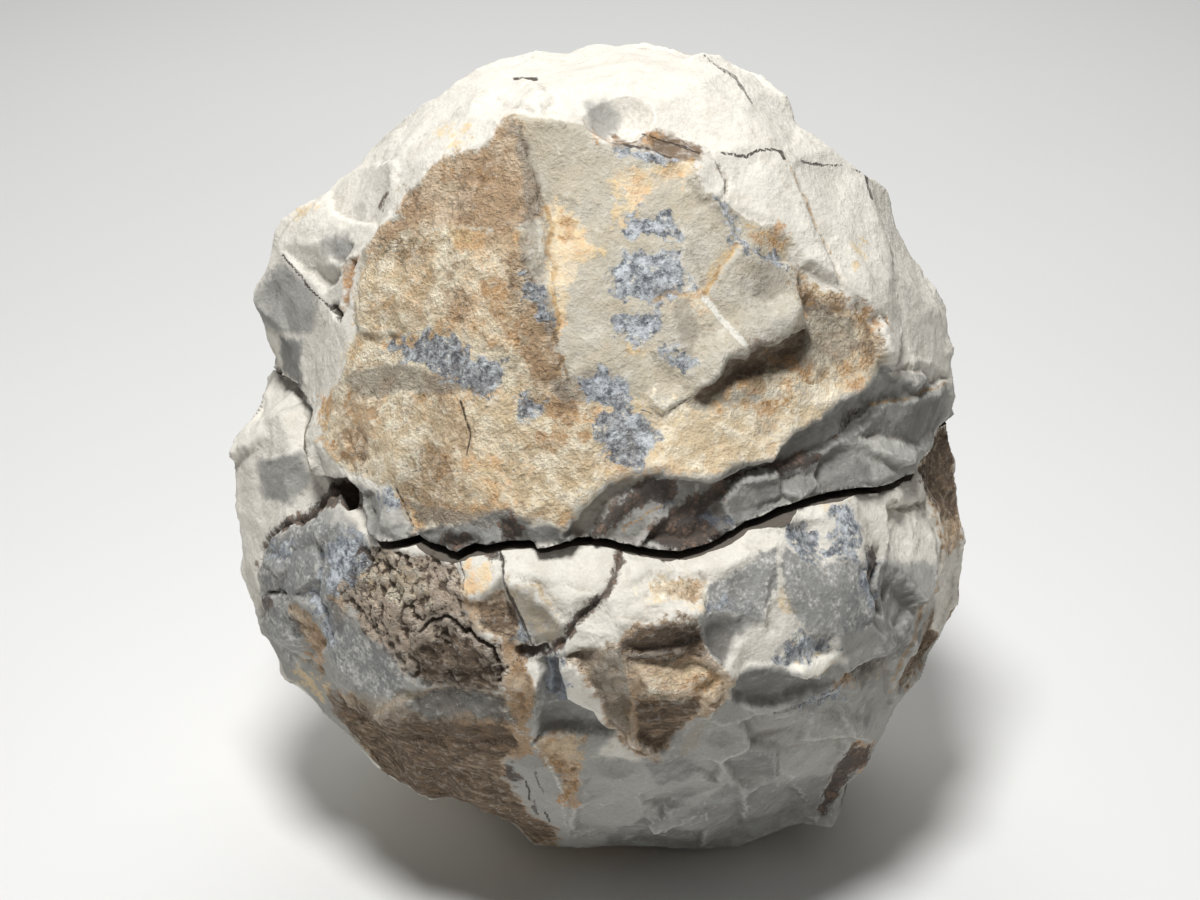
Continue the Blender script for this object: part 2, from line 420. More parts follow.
LOWER_FACETS = [
    (NARROW_FACET, 0.6, 0.15, -0.3),
    ([530, 580, 560, 588, 597, 598, 575, 622, 568, 625, 548, 602], -0.3, 0.25, -0.1),
    ([503, 558, 540, 553, 600, 546, 612, 560, 600, 592, 560, 585, 535, 576, 508, 572], 0.4, 0.0, 0.05),
    ([625, 558, 680, 560, 740, 540, 782, 520, 782, 545, 745, 562, 720, 575, 690, 576, 650, 572,
      628, 585], 0.4, 0.0, 0.1),
    ([462, 560, 496, 558, 499, 580, 482, 599, 465, 598], 0.9, 0.05, 0.1),
    ([640, 590, 665, 577, 702, 580, 704, 617, 665, 621, 632, 618], 0.5, 0.05, 0.15),
    ([563, 658, 569, 690, 608, 722, 616, 736, 632, 745, 628, 700, 600, 690, 590, 668], 0.4, -0.35, 0.1),
    ([546, 692, 566, 690, 614, 737, 576, 735, 537, 741], -2.2, -0.05, -0.15),
    ([540, 657, 548, 657, 548, 690, 537, 741, 532, 735, 537, 690], -0.8, -0.5, 0.0),
    ([518, 657, 540, 657, 537, 688, 528, 676], 0.6, 0.2, 0.3),
    ([622, 622, 695, 622, 700, 642, 640, 655, 618, 648], -0.2, 0.0, -0.45),
    ([632, 662, 700, 662, 733, 682, 715, 696, 650, 692], 0.4, 0.0, 0.35),
    ([632, 698, 700, 696, 720, 700, 692, 722, 662, 752, 636, 745], -0.2, 0.1, -0.35),
    ([568, 655, 620, 648, 630, 690, 631, 744, 612, 735, 600, 690], -0.2, 0.35, -0.1),
    ([695, 622, 745, 620, 742, 640, 724, 668, 712, 655, 700, 640], -1.0, -0.1, -0.2),
    ([700, 575, 745, 562, 780, 545, 778, 600, 765, 622, 745, 618, 705, 616], -0.3, 0.1, 0.1),
    ([730, 690, 745, 665, 770, 660, 800, 670, 832, 675, 836, 682, 800, 692, 760, 706,
      735, 702], -0.6, 0.0, -0.5),
    ([788, 663, 800, 659, 834, 649, 833, 660, 812, 675, 791, 671], 1.0, 0.0, 0.7),
    ([785, 512, 822, 505, 826, 520, 786, 524], 0.7, 0.0, 0.2),
    ([786, 560, 850, 560, 880, 590, 868, 618, 830, 635, 800, 630, 786, 600], 0.5, 0.0, 0.05),
    ([832, 632, 872, 620, 898, 640, 866, 660, 850, 672, 835, 665], 0.2, -0.1, -0.1),
    ([850, 676, 880, 650, 897, 641, 901, 650, 872, 668], -0.8, 0.0, -0.5),
    ([872, 560, 884, 560, 882, 610, 874, 615], -1.4, 0.3, 0.0),
    ([886, 560, 892, 575, 906, 610, 900, 632, 884, 615, 882, 590], -0.8, -0.4, 0.0),
    ([890, 505, 925, 500, 934, 540, 925, 590, 905, 608, 892, 560], 0.3, 0.35, 0.35),
    ([905, 612, 920, 600, 915, 630, 905, 650, 900, 630], 0.4, 0.1, 0.3),
    (LOW_RIGHT_FACET, -0.5, -0.2, -0.2),
    ([313, 508, 338, 505, 339, 520, 322, 540, 312, 522], 0.7, -0.1, 0.25),
    ([285, 518, 312, 522, 322, 540, 300, 548, 282, 538], 0.3, 0.2, -0.15),
    ([262, 553, 278, 553, 288, 568, 282, 578, 268, 565], 0.7, 0.0, 0.5),
    ([262, 570, 282, 580, 284, 592, 268, 595, 260, 590], -0.2, 0.0, -0.3),
    ([288, 548, 318, 542, 320, 575, 300, 592, 286, 570], 0.3, 0.1, 0.2),
    ([298, 596, 322, 600, 332, 640, 310, 660, 288, 640, 282, 610], 0.0, 0.05, -0.2),
    ([325, 545, 350, 532, 362, 545, 350, 590, 330, 600, 322, 575], 0.4, -0.15, 0.1),
    ([400, 690, 500, 692, 512, 708, 470, 716, 400, 712, 372, 718], 0.3, 0.0, 0.4),
    ([372, 720, 500, 716, 520, 738, 440, 742, 385, 740], -0.3, 0.0, -0.3),
    ([385, 742, 500, 744, 500, 765, 430, 770, 395, 762], 0.1, 0.0, 0.15),
    ([578, 800, 600, 762, 640, 758, 690, 768, 648, 790, 600, 806], 0.4, 0.0, 0.12),
    ([572, 836, 578, 802, 600, 806, 640, 792, 645, 806, 622, 842], -0.3, 0.15, -0.1),
    ([645, 803, 676, 790, 708, 785, 724, 786, 692, 799, 662, 811], -0.7, 0.0, -0.5),
    ([646, 812, 690, 800, 730, 786, 736, 800, 706, 812, 655, 826], 0.5, 0.0, 0.45),
    ([650, 827, 706, 812, 696, 836, 660, 846, 626, 842], -0.2, 0.1, -0.15),
    ([706, 812, 736, 801, 742, 828, 700, 844], 0.3, -0.2, 0.1),
    ([690, 754, 706, 722, 738, 720, 748, 742, 722, 762], 0.5, 0.15, 0.1),
    ([650, 764, 664, 752, 690, 756, 720, 764, 716, 782, 690, 770], -0.4, -0.1, -0.25),
    ([742, 720, 770, 710, 800, 704, 812, 712, 790, 732, 752, 742], -0.5, 0.1, -0.2),
    ([812, 710, 842, 700, 858, 712, 846, 736, 800, 738], 0.5, 0.0, 0.3),
    ([722, 762, 750, 743, 772, 746, 776, 772, 736, 782], 0.2, 0.25, -0.05),
    ([776, 748, 846, 738, 838, 764, 792, 776, 778, 770], -0.4, -0.1, 0.2),
    ([738, 784, 790, 778, 802, 800, 768, 816, 744, 828], 0.2, -0.2, -0.15),
    ([800, 780, 836, 768, 822, 800, 815, 820, 795, 812], 0.5, 0.1, 0.1),
    ([858, 700, 888, 668, 892, 690, 872, 738, 850, 734], 0.3, -0.25, 0.0),
    ([850, 680, 890, 655, 893, 690, 870, 740, 845, 735, 835, 705], 0.2, -0.15, 0.05),
    ([240, 400, 262, 396, 266, 440, 238, 460], 0.2, -0.1, 0.35),
    ([258, 462, 300, 450, 312, 480, 285, 505, 262, 500], 0.3, 0.0, -0.15),
    ([300, 385, 312, 420, 305, 445, 270, 465, 275, 430], -0.4, -0.2, 0.0),
]

LOWER_STEPS = [
    ([503, 560, 506, 574, 520, 606, 528, 634, 540, 646], 1.2, 6),
    ([632, 746, 629, 700, 624, 655], -0.8, 5),
    ([700, 722, 735, 684, 733, 674, 700, 640], 1.6, 6),
    ([783, 518, 778, 560, 770, 600, 765, 640], -0.8, 5),
    ([864, 545, 884, 562, 878, 600, 876, 622, 897, 640], -1.2, 6),
    ([838, 656, 850, 672, 897, 641], 1.0, 5),
    ([700, 722, 740, 718, 762, 714, 800, 704, 835, 688, 852, 672], 0.9, 5),
    ([262, 620, 256, 600, 258, 560, 264, 538, 290, 518, 314, 506, 340, 490], -0.8, 6),
    ([500, 700, 520, 735, 545, 752, 565, 770, 576, 800, 568, 836], 0.8, 5),
    ([860, 742, 850, 752, 840, 768, 822, 800], -1.0, 4),
    ([930, 492, 936, 530, 940, 560, 928, 592, 918, 622, 904, 652, 894, 692], 1.0, 5),
]

LOWER_SCOOPS = [
    (722, 640, 9.0, 1.6), (652, 597, 5.0, 1.0), (658, 612, 6.5, 1.1), (560, 720, 11.0, 1.6),
    (742, 590, 8.0, 1.0), (890, 590, 6.0, 1.6), (300, 480, 12.0, 1.2), (255, 430, 9.0, 0.7),
    (905, 540, 10.0, 1.0), (800, 690, 12.0, 1.2), (640, 625, 8.0, 1.0), (590, 790, 12.0, 1.0),
    (680, 830, 10.0, 1.2), (760, 790, 10.0, 1.0), (720, 735, 8.0, 0.8), (800, 760, 9.0, 0.8),
    (868, 705, 9.0, 1.0), (620, 770, 9.0, 0.8), (240, 500, 8.0, 0.6), (470, 720, 9.0, 0.8),
    (770, 540, 6.0, 0.6), (455, 770, 10.0, 1.0), (930, 640, 8.0, 1.0), (820, 640, 7.0, 0.8),
    (585, 605, 7.0, 0.7), (540, 615, 8.0, 0.7), (910, 500, 6.0, 0.7), (690, 790, 10.0, 0.9),
]

LOWER_GROOVES = [
    ([622, 550, 617, 562, 612, 578, 606, 592, 597, 604, 585, 615, 576, 624, 567, 636, 555, 646,
      546, 652], 2.2, 1.5),
    ([517, 650, 530, 648, 545, 648], 2.6, 2.6),
    ([555, 660, 556, 690], 3.6, 1.4),
    ([345, 484, 350, 492, 352, 502], 5.5, 8.0),
    ([340, 492, 315, 506, 290, 518, 268, 533, 260, 552, 257, 585, 259, 618], 2.4, 1.6),
    ([318, 548, 323, 575, 318, 592, 328, 618, 335, 642], 1.6, 1.6),
    (LOBE_SLIT, 1.2, 1.6),
    ([468, 630, 480, 640, 492, 645, 500, 662, 503, 680], 0.9, 1.8),
    (MASS_CREVICE, 1.2, 1.8),
    ([880, 545, 886, 562, 880, 590, 880, 612], 1.8, 1.6),
]

LOWER_ZONES = {
    "pale": [
        [644, 692, 662, 666, 690, 660, 706, 668, 722, 680, 718, 694, 690, 686, 660, 696],
        [640, 590, 665, 577, 702, 580, 704, 612, 680, 606, 650, 604],
        [355, 552, 400, 556, 428, 575, 440, 600, 410, 605, 370, 600],
    ],
    "peach": [
        [640, 664, 700, 662, 730, 680, 716, 694, 690, 690, 655, 688],
        [466, 562, 494, 562, 492, 580, 476, 592],
        [362, 556, 400, 560, 430, 600, 400, 620, 366, 600],
    ],
    "smoke": [
        [546, 660, 566, 690, 614, 737, 576, 738, 537, 742, 530, 700],
        [400, 705, 440, 690, 505, 695, 520, 722, 470, 712, 430, 720],
        [696, 624, 745, 622, 725, 668, 702, 645],
        [600, 848, 640, 812, 700, 802, 736, 786, 800, 780, 838, 770, 842, 800, 825, 825, 780, 832,
         720, 852],
        [722, 762, 750, 744, 775, 748, 778, 772, 736, 782],
        [644, 764, 664, 754, 690, 758, 700, 772, 660, 784],
        [545, 656, 564, 656, 568, 691, 545, 693],
        [870, 560, 905, 570, 910, 640, 870, 690, 850, 676, 880, 650],
        [730, 690, 745, 665, 800, 670, 836, 680, 800, 692, 740, 703],
        [616, 650, 640, 626, 696, 622, 702, 642, 660, 655],
    ],
    "taupe": [
        [736, 748, 764, 746, 772, 770, 740, 780],
        [562, 654, 590, 646, 622, 645, 626, 668, 629, 700, 632, 746, 618, 732, 606, 712, 598, 690,
         582, 668],
        [690, 726, 706, 720, 700, 744, 676, 760],
        NARROW_FACET,
        [345, 690, 400, 690, 505, 692, 500, 720, 430, 730, 360, 722],
    ],
    "shell": [
        [262, 545, 312, 515, 335, 520, 360, 545, 330, 600, 268, 600],
        [784, 548, 800, 552, 822, 558, 850, 560, 866, 564, 881, 582, 884, 604, 872, 619, 850, 630,
         826, 640, 808, 642, 796, 626, 787, 604, 780, 578],
        [322, 590, 345, 600, 365, 632, 392, 655, 408, 684, 392, 700, 360, 692, 340, 668, 328, 640],
        [706, 588, 740, 566, 776, 548, 778, 590, 764, 618, 742, 616, 706, 612],
        [262, 604, 290, 596, 300, 640, 296, 664, 270, 640],
    ],
    "pits": [
        PITTED_MASS,
    ],
    "crust": [
        PITTED_MASS,
        [465, 600, 500, 590, 518, 615, 522, 655, 534, 676, 537, 692, 530, 722, 518, 738, 505, 700,
         500, 645, 480, 632],
        [563, 655, 620, 643, 640, 622, 696, 620, 702, 640, 726, 670, 736, 680, 720, 702, 692, 722,
         660, 756, 640, 756, 618, 740, 604, 715, 598, 690],
        [340, 690, 375, 705, 400, 698, 440, 688, 506, 692, 526, 722, 540, 745, 522, 752, 502, 765,
         512, 790, 545, 820, 562, 842, 520, 832, 480, 820, 450, 805, 415, 805, 388, 790, 366, 762,
         352, 738],
        [535, 742, 560, 735, 585, 738, 580, 765, 576, 800, 566, 800, 560, 775],
        [924, 440, 945, 425, 952, 445, 955, 500, 957, 520, 950, 545, 940, 555, 936, 520, 926, 490,
         920, 470],
        LOW_RIGHT_FACET,
        [650, 590, 672, 577, 704, 578, 702, 596, 690, 606, 668, 600],
        [288, 600, 310, 610, 328, 640, 322, 668, 305, 655, 290, 630],
        [335, 588, 350, 585, 352, 620, 338, 625],
        [832, 684, 845, 676, 868, 668, 896, 650, 880, 676, 852, 682],
    ],
    "umber": [
        [410, 650, 440, 636, 470, 640, 500, 655, 505, 688, 440, 688, 415, 680],
        [330, 690, 356, 704, 372, 724, 410, 748, 400, 775, 360, 750, 330, 715],
        [365, 720, 500, 718, 520, 740, 500, 765, 512, 790, 545, 820, 560, 840, 480, 820, 415, 805,
         388, 790, 366, 762],
        [618, 652, 640, 626, 660, 620, 696, 620, 704, 640, 712, 652, 690, 662, 650, 668, 625, 664],
        [632, 700, 700, 698, 690, 722, 660, 754, 640, 752],
        LOW_RIGHT_FACET,
        [924, 440, 945, 425, 952, 445, 955, 500, 948, 520, 936, 520, 926, 490],
        [480, 600, 520, 600, 520, 640, 500, 640, 480, 625],
    ],
    "rust": [
        [672, 682, 712, 676, 728, 684, 714, 690, 690, 692],
        [504, 640, 518, 644, 522, 664, 514, 668],
        [520, 690, 530, 700, 526, 716, 514, 706],
        [560, 762, 576, 768, 576, 798, 565, 796],
        [860, 740, 868, 744, 866, 762, 856, 770, 852, 756],
    ],
    "ochre": [
        [465, 562, 494, 562, 494, 582, 480, 596, 466, 592],
        [664, 580, 702, 580, 698, 600, 672, 596],
        [776, 590, 786, 588, 792, 612, 782, 618],
        [822, 502, 850, 500, 846, 508, 826, 508],
        [505, 578, 530, 586, 560, 612, 556, 640, 532, 634],
        [540, 740, 580, 740, 578, 762, 552, 760],
        [300, 660, 330, 690, 320, 700, 296, 668],
        [790, 640, 835, 660, 830, 668, 790, 668],
    ],
    "blue": [
        [786, 524, 800, 525, 816, 531, 828, 545, 838, 556, 820, 556, 800, 552, 789, 542],
        [828, 511, 840, 502, 851, 509, 859, 521, 861, 541, 856, 558, 841, 556, 832, 541, 836, 525],
        [862, 566, 878, 574, 882, 592, 878, 606, 866, 600, 858, 584],
        [774, 652, 785, 640, 800, 635, 820, 638, 836, 646, 830, 655, 800, 657, 785, 663, 775, 662],
        [542, 653, 566, 653, 571, 694, 543, 697],
        [315, 547, 326, 549, 326, 575, 322, 590, 331, 615, 338, 641, 330, 646, 321, 620, 313, 595,
         318, 570],
        [521, 619, 528, 635, 531, 643, 517, 641],
        [325, 550, 345, 532, 362, 538, 362, 570, 350, 590, 332, 592],
        [796, 705, 830, 690, 848, 676, 852, 682, 832, 698, 804, 712],
        [862, 545, 884, 560, 880, 590, 872, 575],
        [708, 602, 728, 596, 736, 606, 715, 614],
        [268, 545, 285, 540, 290, 560, 272, 560],
    ],
    "vein": [
        [337, 484, 350, 478, 362, 494, 362, 512, 340, 506, 318, 512, 292, 522, 274, 536, 264, 552,
         258, 586, 256, 560, 262, 536, 280, 516, 306, 504],
        [516, 644, 545, 643, 546, 655, 518, 657],
        [624, 549, 621, 563, 615, 580, 609, 596, 599, 608, 588, 618, 578, 628, 570, 640, 556, 652,
         546, 650, 562, 634, 572, 618, 588, 606, 600, 592, 607, 576, 612, 560, 616, 549],
        [860, 741, 870, 744, 868, 764, 852, 776, 836, 802, 822, 816, 817, 806, 828, 786, 840, 766,
         848, 750],
        [503, 765, 512, 760, 516, 770, 524, 776, 518, 784, 506, 778],
        [258, 598, 272, 596, 274, 612, 262, 618],
        [866, 545, 880, 548, 884, 566, 878, 600, 870, 590, 872, 566],
        [482, 549, 500, 548, 503, 560, 492, 560],
        [917, 474, 926, 464, 928, 478, 920, 481],
    ],
    "marl": [
        [310, 600, 400, 560, 470, 600, 500, 690, 534, 700, 545, 735, 580, 760, 640, 756, 720, 700,
         745, 668, 860, 660, 930, 600, 928, 700, 830, 832, 700, 852, 560, 848, 400, 815, 290, 720],
        [696, 600, 745, 590, 760, 620, 740, 640, 726, 668, 700, 642],
        [540, 658, 566, 690, 616, 736, 600, 760, 580, 765, 538, 742],
        [700, 722, 736, 684, 760, 662, 830, 672, 850, 672, 898, 640, 930, 600, 925, 690, 880, 760,
         830, 825, 760, 830, 720, 850, 600, 846, 565, 838, 578, 800, 600, 760, 660, 756],
        [862, 560, 930, 560, 905, 650, 850, 672, 832, 632],
        [262, 540, 312, 512, 340, 505, 362, 540, 345, 600, 330, 690, 290, 650, 262, 610],
        [262, 462, 302, 450, 313, 480, 285, 505, 262, 500],
        [255, 610, 300, 665, 340, 700, 400, 800, 330, 730, 270, 660],
    ],
}

LOWER_THREADS = [
    ([578, 802, 598, 765, 640, 759, 662, 752], 0.2, 0.5),
    ([645, 804, 676, 791, 708, 786, 726, 786], 0.25, 0.6),
    ([626, 842, 650, 826, 706, 812, 736, 801], 0.2, 0.5),
    ([690, 754, 720, 764, 736, 782, 742, 800], 0.2, 0.45),
    ([722, 762, 750, 743, 790, 732, 812, 712], 0.2, 0.45),
    ([738, 783, 790, 777, 838, 764], 0.2, 0.45),
    ([690, 752, 706, 724, 738, 720], 0.2, 0.4),
    ([500, 550, 504, 575, 518, 605, 526, 630, 534, 645], 0.5, 0.95),
    ([468, 630, 480, 640, 492, 645, 500, 662], 0.6, 0.95),
    (MASS_CREVICE, 0.6, 0.9),
    ([460, 560, 464, 575, 465, 590], 0.5, 0.8),
    ([570, 690, 590, 706, 606, 722, 614, 735], 0.4, 0.6),
    ([772, 712, 790, 706, 808, 702, 825, 692, 845, 680, 851, 668], 0.9, 0.75),
    ([700, 722, 720, 718, 742, 717, 758, 716, 772, 712], 0.4, 0.7),
    ([757, 718, 748, 732, 735, 742, 724, 754], 0.5, 0.6),
    ([600, 790, 620, 787, 640, 778, 655, 768], 0.25, 0.7),
    ([622, 842, 632, 832, 640, 826], 0.6, 0.5),
    ([526, 780, 530, 790, 530, 798], 0.4, 0.9),
    ([536, 770, 540, 782, 544, 792], 0.4, 0.8),
    ([534, 806, 538, 812, 535, 800], 0.8, 0.8),
    ([546, 812, 550, 820], 0.5, 0.9),
    ([600, 758, 606, 752, 612, 758], 0.5, 0.6),
    ([268, 625, 285, 640, 300, 660, 318, 678, 330, 692, 345, 706], 0.4, 0.45),
    (LOBE_SLIT, 0.8, 0.8),
    ([924, 466, 928, 495, 934, 505], 0.8, 0.8),
]

LOWER_GOLD = [
    ([928, 492, 934, 515, 938, 540, 940, 560, 930, 588, 922, 605, 910, 640, 902, 655, 895, 676,
      890, 692], 0.55, 0.75),
    ([790, 588, 806, 584, 830, 568, 846, 562], 0.35, 0.6),
    ([622, 640, 628, 672, 630, 700, 631, 744], 0.45, 0.5),
    ([545, 755, 556, 765, 565, 790, 568, 800], 0.6, 0.7),
    ([318, 680, 332, 700, 350, 720], 0.4, 0.5),
]

LOWER_CREAM_LINES = [
    ([793, 668, 806, 670, 820, 664, 832, 654], 2.6, 1.0),
    ([500, 700, 520, 730, 545, 754, 562, 790, 566, 830], 0.8, 0.6),
]


# --------------------------------------------------------------------------------------------
# Settings

class GeodeSizes(bpy.types.PropertyGroup):
    front_edge: bpy.props.FloatProperty(
        name="Front edges", description="Longest mesh edge on the side that faces the eye",
        default=0.00118, min=0.0005, unit="LENGTH")
    back_edge: bpy.props.FloatProperty(
        name="Back edges", description="Longest mesh edge on the far side",
        default=0.0024, min=0.001, unit="LENGTH")
    hidden_edge: bpy.props.FloatProperty(
        name="Hidden edges", description="Longest mesh edge on the crack's own faces",
        default=0.006, min=0.002, unit="LENGTH")
    scars: bpy.props.IntProperty(
        name="Flake scars", description="How many flakes are struck off each half", default=230,
        min=0)
    grain: bpy.props.FloatProperty(
        name="Grain", description="Height of the fine unevenness all over", default=0.00016,
        min=0, unit="LENGTH")
    rim_wander: bpy.props.FloatProperty(
        name="Rim wander", description="How far the crack's edge wanders up and down",
        default=0.0006, min=0, unit="LENGTH")


class GeodeColours(bpy.types.PropertyGroup):
    chalk: bpy.props.FloatVectorProperty(
        name="Chalk", description="Clean chalky stone", subtype="COLOR", size=3,
        default=(0.78, 0.745, 0.665), min=0, max=1)
    marl: bpy.props.FloatVectorProperty(
        name="Marl", description="Cooler grey, freshly broken stone", subtype="COLOR", size=3,
        default=(0.365, 0.357, 0.33), min=0, max=1)
    cream: bpy.props.FloatVectorProperty(
        name="Cream", description="The broad panel's pale beige", subtype="COLOR", size=3,
        default=(0.57, 0.50, 0.375), min=0, max=1)
    sand: bpy.props.FloatVectorProperty(
        name="Sand", description="Greyish beige of the panel's rough part", subtype="COLOR", size=3,
        default=(0.66, 0.50, 0.33), min=0, max=1)
    taupe: bpy.props.FloatVectorProperty(
        name="Taupe", description="Grey-brown shadowy stain", subtype="COLOR", size=3,
        default=(0.37, 0.33, 0.27), min=0, max=1)
    smoke: bpy.props.FloatVectorProperty(
        name="Smoke", description="Dark grey of freshly broken hollows", subtype="COLOR", size=3,
        default=(0.21, 0.205, 0.19), min=0, max=1)
    tan: bpy.props.FloatVectorProperty(
        name="Tan", description="Rough tan crust", subtype="COLOR", size=3,
        default=(0.63, 0.42, 0.245), min=0, max=1)
    umber: bpy.props.FloatVectorProperty(
        name="Umber", description="Dark brown, fibrous stone", subtype="COLOR", size=3,
        default=(0.21, 0.15, 0.10), min=0, max=1)
    rust: bpy.props.FloatVectorProperty(
        name="Rust", description="Orange iron stain", subtype="COLOR", size=3,
        default=(0.62, 0.37, 0.18), min=0, max=1)
    ochre: bpy.props.FloatVectorProperty(
        name="Ochre", description="Yellow stain", subtype="COLOR", size=3,
        default=(0.82, 0.63, 0.36), min=0, max=1)
    slate: bpy.props.FloatVectorProperty(
        name="Slate blue", description="Dark grains of the crystal patches", subtype="COLOR",
        size=3, default=(0.10, 0.12, 0.15), min=0, max=1)
    ice: bpy.props.FloatVectorProperty(
        name="Ice blue", description="Light grains of the crystal patches", subtype="COLOR",
        size=3, default=(0.47, 0.50, 0.53), min=0, max=1)
    vein: bpy.props.FloatVectorProperty(
        name="Vein", description="Nearly black brown of veins and hollows", subtype="COLOR",
        size=3, default=(0.055, 0.04, 0.033), min=0, max=1)


class GeodeStage(bpy.types.PropertyGroup):
    key_power: bpy.props.FloatProperty(
        name="Key light", description="Power of the broad light overhead", default=3.75,
        min=0, unit="POWER")
    sky: bpy.props.FloatProperty(
        name="Surrounding light", description="Strength of the even light all round",
        default=0.155, min=0)
    floor: bpy.props.FloatVectorProperty(
        name="Floor", description="The floor's colour", subtype="COLOR", size=3,
        default=(0.8, 0.8, 0.79), min=0, max=1)
    floor_width: bpy.props.FloatProperty(
        name="Floor width", description="Side of the square floor", default=12, min=1,
        unit="LENGTH")


# --------------------------------------------------------------------------------------------
# Working the surface

class GrainField:
    """Smooth noise in space that comes out the same each time, and repeats after many lumps."""
    count = 256
    gain = 1.6
    layer_shift = 17.3

    def __init__(self, seed):
        chance = np.random.default_rng(seed)
        slopes = chance.normal(size=(self.count, 3))
        self.slopes = slopes / np.linalg.norm(slopes, axis=1, keepdims=True)
        self.order = chance.permutation(self.count)

    def at(self, places, size):
        """Noise of about -1 to 1 whose lumps are this size."""
        spread = places / size
        corner = np.floor(spread).astype(np.int64)
        part = spread - corner
        ease = part * part * part * (part * (part * 6 - 15) + 10)
        total = np.zeros(len(places))
        for step in product((0, 1), repeat=3):
            step = np.array(step)
            x, y, z = ((corner + step) % self.count).T
            pick = self.order[(self.order[x] + y) % self.count]
            pick = self.order[(pick + z) % self.count]
            slope = ((part - step) * self.slopes[pick]).sum(axis=1)
            total += slope * np.where(step, ease, 1 - ease).prod(axis=1)
        return total * self.gain

    def layered(self, places, size, layers):
        """Noise on noise: each layer half as large and half as strong as the one before."""
        total = np.zeros(len(places))
        for layer in range(layers):
            shift = layer * self.layer_shift * size
            total += self.at(places + shift, size / 2 ** layer) / 2 ** layer
        return total


def smooth_step(values, low, high):
    """0 below low, 1 above high and smooth between them."""
    share = np.clip((values - low) / (high - low), 0, 1)
    return share * share * (3 - 2 * share)


def points(numbers):
    """The points of an outline or a line, which is drawn as x, y, x, y and so on."""
    return np.array(numbers, dtype=float).reshape(-1, 2)


def near_box(spots, corners, reach):
    """Which spots of the sheet lie within reach of the box around these corners."""
    low = corners.min(axis=0) - reach
    high = corners.max(axis=0) + reach
    return np.flatnonzero(((spots > low) & (spots < high)).all(axis=1))


def line_distance(spots, line):
    """Each spot's distance from a line, which side of it (left is 1), and how far along."""
    best = np.full(len(spots), np.inf)
    side = np.ones(len(spots))
    along = np.zeros(len(spots))
    walked = 0.0
    whole = sum(np.hypot(*(there - here)) for here, there in zip(line, line[1:]))
    for here, there in zip(line, line[1:]):
        run = there - here
        length = np.hypot(*run)
        offset = spots - here
        share = np.clip((offset @ run) / (length * length), 0, 1)
        gap = offset - share[:, None] * run
        distance = np.hypot(gap[:, 0], gap[:, 1])
        nearer = distance < best
        best = np.where(nearer, distance, best)
        turn = run[0] * offset[:, 1] - run[1] * offset[:, 0]
        side = np.where(nearer, np.where(turn < 0, 1, -1), side)
        along = np.where(nearer, (walked + share * length) / whole, along)
        walked += length
    return best, side, along


def inside_depth(spots, outline):
    """How deep each spot lies inside a closed outline, in sheet units: negative outside it."""
    closed = np.vstack([outline, outline[:1]])
    distance, _, _ = line_distance(spots, closed)
    inside = np.zeros(len(spots), dtype=bool)
    x, y = spots.T
    for here, there in zip(closed, closed[1:]):
        crosses = (here[1] > y) != (there[1] > y)
        rise = there[1] - here[1]
        at = here[0] + (y - here[1]) * (there[0] - here[0]) / (rise if rise else 1)
        inside ^= crosses & (x < at)
    return np.where(inside, distance, -distance)


def deepest(spots, outlines):
    """How deep each spot lies in the outline that it is deepest in."""
    depth = np.full(len(spots), -OUTLINE_REACH)
    for outline in outlines:
        outline = points(outline)
        close = near_box(spots, outline, OUTLINE_REACH)
        depth[close] = np.maximum(depth[close], inside_depth(spots[close], outline))
    return np.clip(depth, -OUTLINE_REACH, OUTLINE_REACH)


def strongest(spots, lines):
    """How strongly each spot is marked by lines, of (line, width in mm, strength)."""
    mark = np.zeros(len(spots))
    for line, width, strength in lines:
        line = points(line)
        half = width * SHEET_SCALE / 2
        close = near_box(spots, line, half + LINE_FADE)
        distance, _, _ = line_distance(spots[close], line)
        value = strength * np.clip(1.0 - (distance - half) / LINE_FADE, 0, 1)
        mark[close] = np.maximum(mark[close], value)
    return mark


def facet_relief(spots, facets):
    """Flat facets: each is lifted and sloped about its own middle, and is as light as it is steep."""
    relief = np.zeros(len(spots))
    tone = np.zeros(len(spots))
    for outline, lift, slope_right, slope_down in facets:
        outline = points(outline)
        close = near_box(spots, outline, 6)
        depth = inside_depth(spots[close], outline)
        offset = (spots[close] - outline.mean(axis=0)) / SHEET_SCALE
        height = lift + offset[:, 0] * slope_right + offset[:, 1] * slope_down
        relief[close] += height * smooth_step(depth, -LINE_FADE, LINE_FADE)
        tone[close] += (slope_down - slope_right * 0.2) * smooth_step(depth, -1.5, 1.5)
    return relief, tone


def step_relief(spots, steps):
    """Steps: the left-hand side of each line stands proud and fades away from it."""
    relief = np.zeros(len(spots))
    for line, height, fade in steps:
        line = points(line)
        reach = fade * SHEET_SCALE
        close = near_box(spots, line, reach)
        distance, side, along = line_distance(spots[close], line)
        left = 1 - smooth_step(distance, 0, reach)
        right = 1 - smooth_step(distance, 0, 1.2 * SHEET_SCALE)
        ends = smooth_step(along, 0.0, 0.12) * (1 - smooth_step(along, 0.88, 1.0))
        relief[close] += height * np.where(side > 0, left, right) * ends
    return relief


def groove_relief(spots, grooves):
    """Cracks and crevices: V-shaped cuts along lines, of (line, width in mm, depth in mm)."""
    relief = np.zeros(len(spots))
    for line, width, depth in grooves:
        line = points(line)
        half = max(width * SHEET_SCALE / 2, 2.4)
        close = near_box(spots, line, half)
        distance, _, _ = line_distance(spots[close], line)
        relief[close] = np.minimum(relief[close], -depth * (1 - smooth_step(distance, 0, half)))
    return relief


